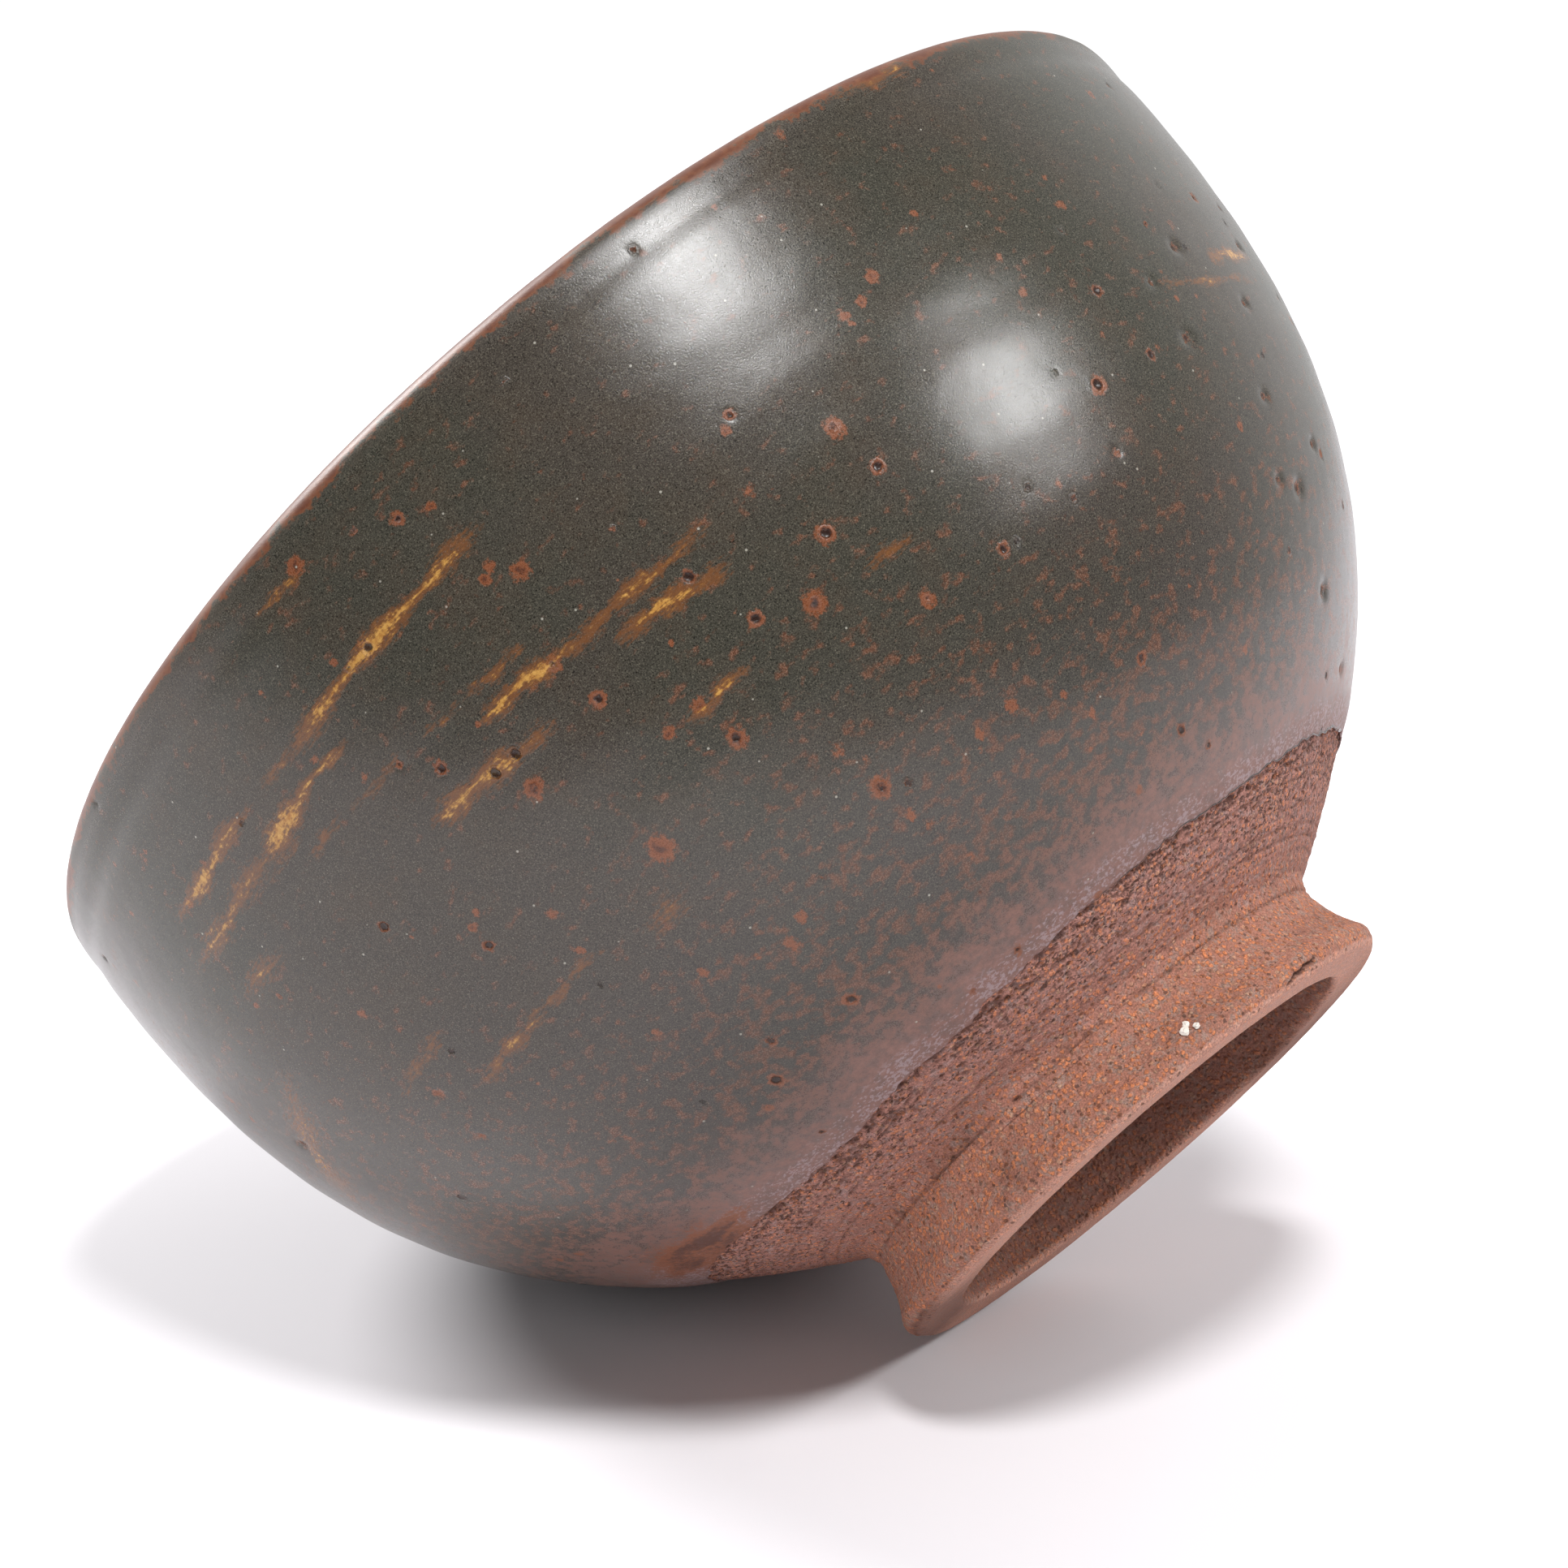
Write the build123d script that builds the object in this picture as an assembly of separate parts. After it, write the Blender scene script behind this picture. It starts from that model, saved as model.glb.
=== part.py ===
from build123d import *
import math
import os

os.makedirs("parts", exist_ok=True)

# A hand-thrown stoneware tea bowl, in millimetres. Z is the axis of the potter's wheel, Z = 0 is the table
# under the foot, and every round piece is its half section in the XZ plane turned about Z.

# Thrown body: the wall and floor, in bare clay
clay_height = 75.6       # table to the top of the lip
rim_radius = 60.6        # outside of the wall where the lip begins to round over
lip_thickness = 2.8
lip_lean = 2.1           # degrees that the wall leans in at the lip
shoulder_fullness = 35.4  # how far down the wall stays upright before it curves in
knuckle_angle = 29.6     # degrees above level at which the wall leaves the foot
knuckle_fullness = 29.9  # how far out the wall keeps that angle
floor_thickness = 6.6
inner_wall_drop = 23.7   # how far the inside stays upright below the lip
inner_floor_reach = 49.4  # how far out the inside stays level at the floor

# Foot ring: thrown on its own and stuck on with slip
seat_height = 8.0        # table to the trimmed underside that the foot is stuck to
neck_radius = 24.0       # where the wall meets that underside
foot_flare = 2.0         # how far the foot's edge stands out past the ring's top
foot_edge_round = 1.4
foot_flare_angle = 33.0  # degrees from upright at which the flare reaches the edge
foot_wall = 5.2          # thickness of the ring at the table, from its edge to the hollow
well_draft = 1.4         # how much narrower the hollow is at its ceiling
well_edge_round = 0.5

# Slip: the joint layer between ring and body, squeezed out into a bead round the neck
slip_thickness = 0.6
neck_step = 0.6          # how far the ring's top stands out past the body's underside
bead_rise = 1.7          # how far the bead climbs the wall
bead_hollow = 0.15       # how far the bead's face is hollowed by the potter's finger

# Tenmoku glaze: poured inside, then dipped outside as far as the glaze line
glaze_thickness = 0.4
glaze_line_height = 14.2
inside_lap = 6.0         # how far the outside coat comes down inside the lip

# Feldspar: white grains in the foot's clay, melted out in the kiln
grain_bearing = 98.0     # degrees round the bowl from +X
grain_height = 2.9
grain_radii = (0.62, 0.45, 0.34)
grain_spacing = 1.2
grain_burial = 0.2       # how far below the clay's face the middle of a grain lies


def slope(angle):
    """Unit vector in the section plane, an angle in degrees above level."""
    return (math.cos(math.radians(angle)), math.sin(math.radians(angle)))


def moved(point, direction, distance):
    return (point[0] + direction[0] * distance, point[1] + direction[1] * distance)


down_the_wall = slope(lip_lean - 90)
across_the_lip = slope(lip_lean + 180)
lip_round = lip_thickness / 2
floor_height = seat_height + floor_thickness
joint_height = clay_height - inside_lap
ring_top = seat_height - slip_thickness
ring_top_radius = neck_radius + neck_step
foot_radius = ring_top_radius + foot_flare
well_radius = foot_radius - foot_wall
well_ceiling_radius = well_radius - well_draft

lip_outside = (rim_radius, clay_height - lip_round * (1 - math.sin(math.radians(lip_lean))))
lip_middle = moved(lip_outside, across_the_lip, lip_round)
lip_crown = moved(lip_middle, down_the_wall, -lip_round)
lip_inside = moved(lip_outside, across_the_lip, lip_thickness)
neck = (neck_radius, seat_height)


def section(*edges):
    """Closed half section made from edges in the XZ plane, given as (radius, height) curves."""
    return make_face(Wire(list(edges)))


def coated(points, thickness):
    """Control points of a wall's curve, moved to its left so that the curve lies on a coat."""
    normals = []
    for start, end in zip(points, points[1:]):
        length = math.dist(start, end)
        normals.append(((start[1] - end[1]) / length, (end[0] - start[0]) / length))
    result = [moved(points[0], normals[0], thickness)]
    for point, before, after in zip(points[1:], normals, normals[1:]):
        both = (before[0] + after[0], before[1] + after[1])
        agreement = 1 + before[0] * after[0] + before[1] * after[1]
        result.append(moved(point, both, thickness / agreement))
    result.append(moved(points[-1], normals[-1], thickness))
    return result


def outer_wall(coat=0.0):
    """Outside of the wall from the lip down to the neck, bare or under a coat of glaze."""
    below_lip = moved(lip_outside, down_the_wall, shoulder_fullness)
    above_neck = moved(neck, slope(knuckle_angle), knuckle_fullness)
    return Bezier(*coated([lip_outside, below_lip, above_neck, neck], coat))


def inner_wall(coat=0.0):
    """Inside of the wall from the lip down to the middle of the floor, bare or under a coat."""
    below_lip = moved(lip_inside, down_the_wall, inner_wall_drop)
    floor_side = (inner_floor_reach, floor_height)
    return Bezier(*coated([lip_inside, below_lip, floor_side, (0, floor_height)], -coat))


def body_section(coat=0.0):
    """Wall and floor, bare or with a coat of glaze all round."""
    outside = outer_wall(coat)
    inside = inner_wall(coat)
    underside = outside @ 1
    return section(
        outside,
        Line(underside, (0, underside.Y)),
        Line((0, underside.Y), inside @ 1),
        inside,
        ThreePointArc(inside @ 0, moved(lip_crown, down_the_wall, -coat), outside @ 0),
    )


def block(radius_to, height_from, height_to):
    """Rectangle from the axis outwards, used to pick out part of a half section."""
    height = height_to - height_from
    return Pos(radius_to / 2, height_from + height / 2) * Rectangle(radius_to, height)


def foot_section():
    """Foot ring: outside hollowed in to the neck, rounded edge, flat sole and a hollow with sloped sides."""
    edge_middle = (foot_radius - foot_edge_round, foot_edge_round)
    flare_end = moved(edge_middle, slope(foot_flare_angle), foot_edge_round)
    edge_low = moved(edge_middle, slope((foot_flare_angle - 90) / 2), foot_edge_round)
    sole_outside = (edge_middle[0], 0)
    flare = TangentArc(flare_end, (ring_top_radius, ring_top), tangent=slope(foot_flare_angle + 90))
    ring = section(
        flare,
        Line((ring_top_radius, ring_top), (well_ceiling_radius, ring_top)),
        Line((well_ceiling_radius, ring_top), (well_radius, 0)),
        Line((well_radius, 0), sole_outside),
        ThreePointArc(sole_outside, edge_low, flare_end),
    )
    sole_inner_corner = ring.vertices().sort_by(Axis.Y)[:2].sort_by(Axis.X)[0]
    return fillet(sole_inner_corner, well_edge_round), flare


def slip_section():
    """Slip layer on the ring's top, and the bead that fills the corner under the wall."""
    wall = outer_wall()
    bead_top = wall @ (1 - bead_rise / wall.length)
    ring_corner = (ring_top_radius, ring_top)
    layer = section(
        SagittaArc(ring_corner, bead_top, bead_hollow),
        Line(bead_top, (well_ceiling_radius, bead_top.Y)),
        Line((well_ceiling_radius, bead_top.Y), (well_ceiling_radius, ring_top)),
        Line((well_ceiling_radius, ring_top), ring_corner),
    )
    return layer - body_section()


def glaze_sections():
    """Outside coat and inside coat, which meet a little way down inside the lip."""
    coat = body_section(glaze_thickness) - body_section()
    reach = rim_radius * 2
    bowl_mouth = section(
        inner_wall(),
        Line((0, floor_height), (0, lip_inside[1])),
        Line((0, lip_inside[1]), lip_inside),
    )
    below_joint = bowl_mouth & block(reach, floor_height, joint_height)
    poured = coat & below_joint
    dipped = coat & block(reach, glaze_line_height, clay_height * 2) - below_joint
    return dipped, poured


def turned(half_section):
    """Solid of revolution of a half section."""
    return revolve(Plane.XZ * half_section.face(), axis=Axis.Z, revolution_arc=360)


def feldspar_grains(flare):
    """Grains side by side in the flare, each more than half buried in the clay."""
    up_the_flare = (grain_height - (flare @ 0).Y) / ((flare @ 1).Y - (flare @ 0).Y)
    place = flare @ up_the_flare
    turn_to_next = math.degrees(grain_spacing / place.X)
    grains = []
    for index, radius in enumerate(grain_radii):
        turn = Rot(Z=grain_bearing + index * turn_to_next)
        grains.append(turn * Pos(place.X - grain_burial, 0, place.Y) * Sphere(radius, rotation=(0, 90, 0)))
    return grains


def foot_ring(half_section, grains):
    """Ring with a pocket for each grain, cut one by one."""
    ring = turned(half_section)
    for grain in grains:
        ring -= grain
    return ring


foot_face, flare_line = foot_section()
outer_coat, inner_coat = glaze_sections()
grains = feldspar_grains(flare_line)

pieces = {
    "thrown_body": turned(body_section()),
    "foot_ring": foot_ring(foot_face, grains),
    "foot_slip": turned(slip_section()),
    "outer_glaze": turned(outer_coat),
    "inner_glaze": turned(inner_coat),
    "feldspar_grains": Compound(children=grains),
}

for name, piece in pieces.items():
    export_step(piece, "parts/" + name + ".step")
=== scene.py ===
import math

import bpy
import numpy as np
from mathutils import Matrix, Vector


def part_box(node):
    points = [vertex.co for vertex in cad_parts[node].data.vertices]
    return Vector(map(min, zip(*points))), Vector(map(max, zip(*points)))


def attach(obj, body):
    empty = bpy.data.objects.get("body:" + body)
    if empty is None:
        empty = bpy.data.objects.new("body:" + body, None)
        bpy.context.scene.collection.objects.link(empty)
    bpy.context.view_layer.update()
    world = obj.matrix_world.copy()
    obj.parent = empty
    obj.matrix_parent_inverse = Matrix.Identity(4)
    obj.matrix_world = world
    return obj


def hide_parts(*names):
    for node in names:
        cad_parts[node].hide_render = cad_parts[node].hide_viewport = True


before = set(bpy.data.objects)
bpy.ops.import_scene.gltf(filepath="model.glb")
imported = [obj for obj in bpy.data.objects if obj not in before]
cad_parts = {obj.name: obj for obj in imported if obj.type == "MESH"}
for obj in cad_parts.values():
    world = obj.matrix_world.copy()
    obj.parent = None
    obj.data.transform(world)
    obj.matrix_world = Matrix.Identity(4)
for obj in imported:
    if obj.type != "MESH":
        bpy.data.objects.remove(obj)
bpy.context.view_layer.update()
mm = 0.001

# ------------------------------------------------------------------ The thrown body
# Wall and floor of the bowl, thrown on the wheel in coarse iron-bearing stoneware and trimmed
# underneath when leather hard. The clay is bare between the glaze line and the foot, and in the
# hollow of the foot.

body_low, body_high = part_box("thrown_body")
clay_height = body_high.z
seat_height = body_low.z
rim_radius = 60.6 * mm
lip_thickness = 2.8 * mm
lip_lean = 2.1
shoulder_fullness = 35.4 * mm
knuckle_angle = 29.6
knuckle_fullness = 29.9 * mm
neck_radius = 24.0 * mm
floor_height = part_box("inner_glaze")[0].z
inner_wall_drop = 23.7 * mm
inner_floor_reach = 49.4 * mm


def slope(angle):
    """Unit step in the section plane, at an angle in degrees above level."""
    return np.array((math.cos(math.radians(angle)), math.sin(math.radians(angle))))


def evenly(line, spacing):
    """The same (radius, height) line with points at an even spacing."""
    way = np.concatenate(([0], np.cumsum(np.linalg.norm(np.diff(line, axis=0), axis=1))))
    places = np.linspace(0, way[-1], max(2, round(way[-1] / spacing) + 1))
    return np.stack([np.interp(places, way, line[:, k]) for k in (0, 1)], axis=1)


def sweep(start, start_pull, end_pull, end):
    """Bezier line that leaves the start towards its pull and reaches the end from the other."""
    t = np.linspace(0, 1, 600)[:, None]
    return (start * (1 - t) ** 3 + 3 * start_pull * t * (1 - t) ** 2
            + 3 * end_pull * t ** 2 * (1 - t) + end * t ** 3)


def arc(middle, radius, start_angle, end_angle):
    angles = np.radians(np.linspace(start_angle, end_angle, 60))
    return np.stack([middle[0] + radius * np.cos(angles), middle[1] + radius * np.sin(angles)], axis=1)


def joined(*lines):
    """Lines end to end, without the doubled points where they meet."""
    return np.concatenate([lines[0]] + [line[1:] for line in lines[1:]])


down_the_wall = slope(lip_lean - 90)
lip_round = lip_thickness / 2
lip_outside = np.array((rim_radius, clay_height - lip_round * (1 - math.sin(math.radians(lip_lean)))))
lip_middle = lip_outside + slope(lip_lean + 180) * lip_round
lip_inside = lip_outside + slope(lip_lean + 180) * lip_thickness
neck = np.array((neck_radius, seat_height))
floor_middle = np.array((0, floor_height))

outer_wall = sweep(lip_outside, lip_outside + down_the_wall * shoulder_fullness,
                   neck + slope(knuckle_angle) * knuckle_fullness, neck)
inner_wall = sweep(floor_middle, floor_middle + (inner_floor_reach, 0),
                   lip_inside + down_the_wall * inner_wall_drop, lip_inside)
lip_crown = arc(lip_middle, lip_round, lip_lean + 180, lip_lean)


def way_along(line):
    """Distance walked along a line to each of its points."""
    return np.concatenate(([0], np.cumsum(np.linalg.norm(np.diff(line, axis=0), axis=1))))


def bearings(columns):
    """The columns of a turned mesh, in radians round the wheel from +X."""
    return np.arange(columns) * 2 * np.pi / columns


def smooth_step(value, low, high):
    t = np.clip((value - low) / (high - low), 0, 1)
    return t * t * (3 - 2 * t)


def patches(draw, way, columns, length, count):
    """Smooth random unevenness from -1 to 1, patches of a length along the section, count round it."""
    down = way / length
    row = np.floor(down).astype(int)
    u = down - row
    u = (u * u * (3 - 2 * u))[:, None]
    across = np.arange(columns) * count / columns
    column = np.floor(across).astype(int)
    v = across - column
    v = v * v * (3 - 2 * v)
    lattice = draw.uniform(-1, 1, (row.max() + 2, count))
    beside = (column + 1) % count
    upper = lattice[row][:, column] * (1 - v) + lattice[row][:, beside] * v
    lower = lattice[row + 1][:, column] * (1 - v) + lattice[row + 1][:, beside] * v
    return upper * (1 - u) + lower * u


def window(way, radius, columns, bearing, place, half_round, half_along):
    """Rows and columns near one spot, and how far each lies from it in half widths."""
    first_row, last_row = np.searchsorted(way, (place - 2.6 * half_along, place + 2.6 * half_along))
    rows = np.arange(first_row, last_row)
    turn = 2 * np.pi / columns
    reach = 2.6 * half_round / np.interp(place, way, radius)
    wheel = np.arange(int((bearing - reach) / turn), int((bearing + reach) / turn) + 2)
    round_it = (wheel * turn - bearing) / reach * 2.6
    along_it = (way[rows] - place) / half_along
    return np.ix_(rows, wheel % columns), np.hypot(along_it[:, None], round_it[None, :])


def pressed(relief, way, radius, bearing, place, half_round, half_along, depth):
    """Presses a soft dent into a relief; a negative depth raises a bump."""
    cells, distance = window(way, radius, relief.shape[1], bearing, place, half_round, half_along)
    if distance.size:
        relief[cells] -= depth * np.exp(-distance ** 2)


def scattered(relief, draw, count, way, radius, places, half_round, half_along, depth, sign=1):
    """Presses many dents, or raises bumps with sign -1, of sizes in ranges of millimetres."""
    for _ in range(count):
        pressed(relief, way, radius, draw.uniform(0, 2 * np.pi), draw.uniform(*places),
                draw.uniform(*half_round) * mm, draw.uniform(*half_along) * mm,
                sign * draw.uniform(*depth) * mm)


def spun(line, columns):
    """Radius and height of a section line, repeated for each column round the wheel."""
    return np.repeat(line[:, :1], columns, axis=1), np.repeat(line[:, 1:], columns, axis=1)


def raised(radius, height, relief, ring):
    """A grid of section points moved out of the surface by a relief in metres."""
    if ring:
        run = np.roll(radius, -1, 0) - np.roll(radius, 1, 0)
        rise = np.roll(height, -1, 0) - np.roll(height, 1, 0)
    else:
        run, rise = np.gradient(radius, axis=0), np.gradient(height, axis=0)
    length = np.hypot(run, rise) + 1e-12
    return radius - rise / length * relief, height + run / length * relief


def turned(name, radius, height, ring):
    """Closed mesh from section grids: a ring, or a form whose first and last rows are on the axis."""
    rows, columns = radius.shape
    turn = bearings(columns)
    points = np.stack([radius * np.cos(turn), radius * np.sin(turn), height], axis=2)
    first, last = (0, rows) if ring else (1, rows - 1)
    shell = points[first:last].reshape(-1, 3)
    count = last - first
    i, j = np.meshgrid(np.arange(count if ring else count - 1), np.arange(columns), indexing="ij")
    under, beside = (i + 1) % count, (j + 1) % columns
    faces = np.stack([i * columns + j, under * columns + j, under * columns + beside,
                      i * columns + beside], axis=-1).reshape(-1, 4).tolist()
    if not ring:
        poles = np.array([(0, 0, height[0].mean()), (0, 0, height[-1].mean())])
        top, bottom = len(shell), len(shell) + 1
        shell = np.concatenate([shell, poles])
        here = np.arange(columns)
        there = (here + 1) % columns
        last_row = (count - 1) * columns
        faces += [(top, a, b) for a, b in zip(here.tolist(), there.tolist())]
        faces += [(bottom, last_row + b, last_row + a) for a, b in zip(here.tolist(), there.tolist())]
    mesh = bpy.data.meshes.new(name)
    mesh.from_pydata(shell.tolist(), [], faces)
    mesh.shade_smooth()
    return mesh


def noted(mesh, name, values, ring):
    """Writes a number for each point of a turned mesh, which its material reads by that name."""
    if not ring:
        values = np.concatenate([values[1:-1].ravel(), (values[0].mean(), values[-1].mean())])
    note = mesh.attributes.new(name, "FLOAT", "POINT")
    note.data.foreach_set("value", values.ravel().astype(np.float32))


def placed(name, mesh, material):
    piece = bpy.data.objects.new(name, mesh)
    bpy.context.scene.collection.objects.link(piece)
    mesh.materials.append(material)
    return piece


belly_swell = 0.65 * mm
belly_bearing = -10.0
ring_pitch = 6.3 * mm
ring_depth = 0.022 * mm
finger_groove_height = 71.6 * mm
finger_groove_depth = 0.13 * mm
finger_groove_half_width = 1.3 * mm


def wheel_marks(radius, height, turn):
    """How far the thrown wall stands out from a true form: a fuller side, rings, a groove by the lip."""
    up = np.clip((height - seat_height) / (lip_outside[1] - seat_height), 0, 1)
    fuller = belly_swell * np.sin(np.pi * up) * np.cos(turn - math.radians(belly_bearing))
    spiral = np.sin(2 * np.pi * height / ring_pitch + turn) * np.sin(np.pi * up)
    wander = 0.6 * mm * np.sin(2 * turn + 0.7)
    groove = np.exp(-((height - finger_groove_height + wander) / finger_groove_half_width) ** 2)
    return fuller + ring_depth * spiral - finger_groove_depth * groove


def inside_marks(radius, height, turn):
    """Throwing ridges inside: a spiral that opens from the middle of the floor and fades up the wall."""
    out = np.clip(radius / rim_radius, 0, 1)
    up = np.clip((height - floor_height) / (clay_height - floor_height), 0, 1)
    spiral = np.sin(2 * np.pi * (radius + height * 1.2) / (7.5 * mm) - turn)
    fade = smooth_step(out, 0.02, 0.2) * (1 - 0.75 * up)
    fuller = belly_swell * np.sin(np.pi * up) * np.cos(turn - math.radians(belly_bearing))
    return 0.11 * mm * spiral * fade - fuller * smooth_step(up, 0.0, 0.3)


dip_line = ((-170, 16.2), (-120, 16.9), (-60, 17.2), (-25, 16.8), (0, 16.2), (15, 15.4), (28, 14.6),
            (40, 13.7), (60, 13.6), (80, 13.7), (95, 14.3), (113, 14.5), (130, 15.0), (160, 15.8))


def glaze_line(columns, draw):
    """Height of the glaze's lower edge all round: the line of the dip, with small runs and gaps."""
    where = np.degrees(bearings(columns))
    known = np.array([(a + turn, h) for turn in (-360, 0, 360) for a, h in dip_line])
    dense = np.interp(np.arange(-200, 560, 1.0), known[:, 0], known[:, 1])
    soft = np.convolve(dense, np.hanning(15) / np.hanning(15).sum(), mode="same")
    line = np.interp(where, np.arange(-200, 560, 1.0), soft) * mm
    waver = (0.10, 36), (0.09, 90), (0.10, 220), (0.06, 420)
    for size, count in waver:
        line = line + size * mm * patches(draw, np.zeros(1), columns, 1.0, count)[0]
    return line


clay_columns = 1440
bare_top = 18.6 * mm
bare_spacing = 0.16 * mm
hidden_spacing = 2.0 * mm
score_heights = (9.9, 10.6, 11.2, 12.1, 12.6, 13.4, 14.1)
tear_count = 2600
chip_count = 900
under_pit_count = 500

split = np.searchsorted(-outer_wall[:, 1], -bare_top)
glazed_stretch = evenly(outer_wall[:split + 1], hidden_spacing)
bare_stretch = evenly(outer_wall[split:], bare_spacing)
underside = evenly(np.array([neck, (0, seat_height)]), 0.4 * mm)
clay_outline = joined(evenly(inner_wall, hidden_spacing), evenly(lip_crown, 0.7 * mm), glazed_stretch,
                      bare_stretch, underside)
clay_way = way_along(clay_outline)
clay_turn = bearings(clay_columns)[None, :]
clay_radius, clay_rise = spun(clay_outline, clay_columns)

draw = np.random.default_rng(12)
line_height = glaze_line(clay_columns, draw)
inner_rows = len(evenly(inner_wall, hidden_spacing))
bare_start = len(clay_outline) - len(underside) - len(bare_stretch) + 2
bare_end = len(clay_outline) - len(underside) + 1

relief = np.zeros(clay_radius.shape)
relief[:inner_rows] += inside_marks(clay_radius, clay_rise, clay_turn)[:inner_rows]
relief[inner_rows:bare_end] += wheel_marks(clay_radius, clay_rise, clay_turn)[inner_rows:bare_end]

bare = slice(bare_start, bare_end)
bare_way = clay_way[bare]
bare_radius = clay_outline[bare, 0]
bare_height = clay_outline[bare, 1]
skin = np.zeros((bare_end - bare_start, clay_columns))
for score in score_heights:
    wander = 0.12 * mm * patches(draw, np.zeros(1), clay_columns, 1.0, 14)[0]
    worn = smooth_step(patches(draw, np.zeros(1), clay_columns, 1.0, 17)[0], -0.5, 0.4)
    off = (bare_height[:, None] - score * mm - wander) / (0.085 * mm)
    skin -= 0.110 * mm * worn * np.exp(-off ** 2)
skin += 0.035 * mm * patches(draw, bare_way, clay_columns, 0.45 * mm, 420)
skin += 0.030 * mm * patches(draw, bare_way, clay_columns, 0.9 * mm, 130)
line_way = np.interp(-line_height, -bare_height, bare_way)
for _ in range(tear_count):
    bearing = draw.uniform(0, 2 * np.pi)
    below_line = draw.exponential(1.5 * mm) if draw.random() < 0.6 else draw.uniform(0, 10 * mm)
    place = line_way[int(bearing / (2 * np.pi) * clay_columns) % clay_columns] + below_line
    closeness = math.exp(-below_line / (4 * mm))
    pressed(skin, bare_way, bare_radius, bearing, place, draw.uniform(0.12, 0.42) * mm,
            draw.uniform(0.08, 0.19) * mm, draw.uniform(0.07, 0.18 + 0.20 * closeness) * mm)
scattered(skin, draw, chip_count, bare_way, bare_radius, (bare_way[0], bare_way[-1]),
          (0.15, 0.4), (0.12, 0.3), (0.03, 0.09), sign=-1)
neck_fade = smooth_step(bare_height, seat_height + 0.5 * mm, seat_height + 2.2 * mm)[:, None]
skin *= 0.35 + 0.65 * neck_fade
skin *= 1 - smooth_step(bare_height[:, None] - line_height[None, :], 0, 0.6 * mm)
relief[bare] += skin

under = slice(bare_end, len(clay_outline))
under_spiral = np.sin(2 * np.pi * clay_radius[under] / (3.4 * mm) + clay_turn)
under_fade = smooth_step(clay_radius[under], 0.5 * mm, 4 * mm)
relief[under] += 0.09 * mm * under_spiral * under_fade
under_way = clay_way[under]
under_skin = 0.03 * mm * patches(draw, under_way - under_way[0], clay_columns, 0.8 * mm, 160)
relief[under] += under_skin * under_fade
scattered(relief[under], draw, under_pit_count, under_way, clay_outline[under, 0],
          (under_way[20], under_way[-3]), (0.1, 0.35), (0.25, 0.5), (0.03, 0.12))

# Painted shade: how deep the bare clay is pressed in, which its material colours darker
depth_shade_note = np.zeros(relief.shape)
depth_shade_note[bare] = np.clip(-skin / (0.18 * mm), 0, 1)
body_mesh = turned("thrown_body", *raised(clay_radius, clay_rise, relief, ring=False), ring=False)
noted(body_mesh, "sunk", depth_shade_note, ring=False)
# Painted shade: the underside inside the foot, which its material colours darker
hollow_shade_note = np.zeros(relief.shape)
hollow_shade_note[under] = 1
noted(body_mesh, "hollow", hollow_shade_note, ring=False)


def wire(tree, kind, inputs=None, **settings):
    """A shader node with its settings, and each input either joined to a socket or given a value."""
    node = tree.nodes.new("ShaderNode" + kind)
    for name, value in settings.items():
        setattr(node, name, value)
    for name, value in (inputs or {}).items():
        if isinstance(value, bpy.types.NodeSocket):
            tree.links.new(value, node.inputs[name])
        else:
            node.inputs[name].default_value = value
    return node


def tinted(tree, amount, base, over, how="MIX"):
    """Colour over colour by an amount."""
    node = tree.nodes.new("ShaderNodeMix")
    node.data_type = "RGBA"
    node.blend_type = how
    for place, value in ((0, amount), (6, base), (7, over)):
        if isinstance(value, bpy.types.NodeSocket):
            tree.links.new(value, node.inputs[place])
        elif place:
            node.inputs[place].default_value = (*value, 1)
        else:
            node.inputs[place].default_value = value
    return node.outputs[2]


def figured(tree, how, first, second=0.0, third=0.0):
    """One sum on numbers or sockets."""
    node = tree.nodes.new("ShaderNodeMath")
    node.operation = how
    for socket, value in zip(node.inputs, (first, second, third)):
        if isinstance(value, bpy.types.NodeSocket):
            tree.links.new(value, socket)
        else:
            socket.default_value = value
    return node.outputs[0]


def times(tree, first, second):
    return figured(tree, "MULTIPLY", first, second)


def swayed(tree, value, noise, reach):
    """A value pushed up and down by a noise, by half the reach each way at most."""
    return figured(tree, "MULTIPLY_ADD", figured(tree, "SUBTRACT", noise, 0.5), reach, value)


def eased(tree, value, low, high, start=0.0, end=1.0):
    """A value taken smoothly from start at low to end at high."""
    return wire(tree, "MapRange", {"Value": value, "From Min": low, "From Max": high, "To Min": start,
                                   "To Max": end}, interpolation_type="SMOOTHSTEP").outputs["Result"]


def cloudy(tree, where, size, detail=3.0, roughness=0.55, stretch=(1, 1, 1)):
    """Noise whose patches are about a size in metres."""
    if stretch != (1, 1, 1):
        where = wire(tree, "Mapping", {"Vector": where, "Scale": stretch}).outputs["Vector"]
    return wire(tree, "TexNoise", {"Vector": where, "Scale": 1 / size, "Detail": detail,
                                   "Roughness": roughness}).outputs["Fac"]


def shader_group(name, inputs, outputs):
    """A node group with named inputs and outputs, and its two ends."""
    group = bpy.data.node_groups.new(name, "ShaderNodeTree")
    for socket, kind, value in inputs:
        made = group.interface.new_socket(socket, in_out="INPUT", socket_type="NodeSocket" + kind)
        if value is not None:
            made.default_value = value
    for socket, kind in outputs:
        group.interface.new_socket(socket, in_out="OUTPUT", socket_type="NodeSocket" + kind)
    return group, group.nodes.new("NodeGroupInput").outputs, group.nodes.new("NodeGroupOutput").inputs


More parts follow.
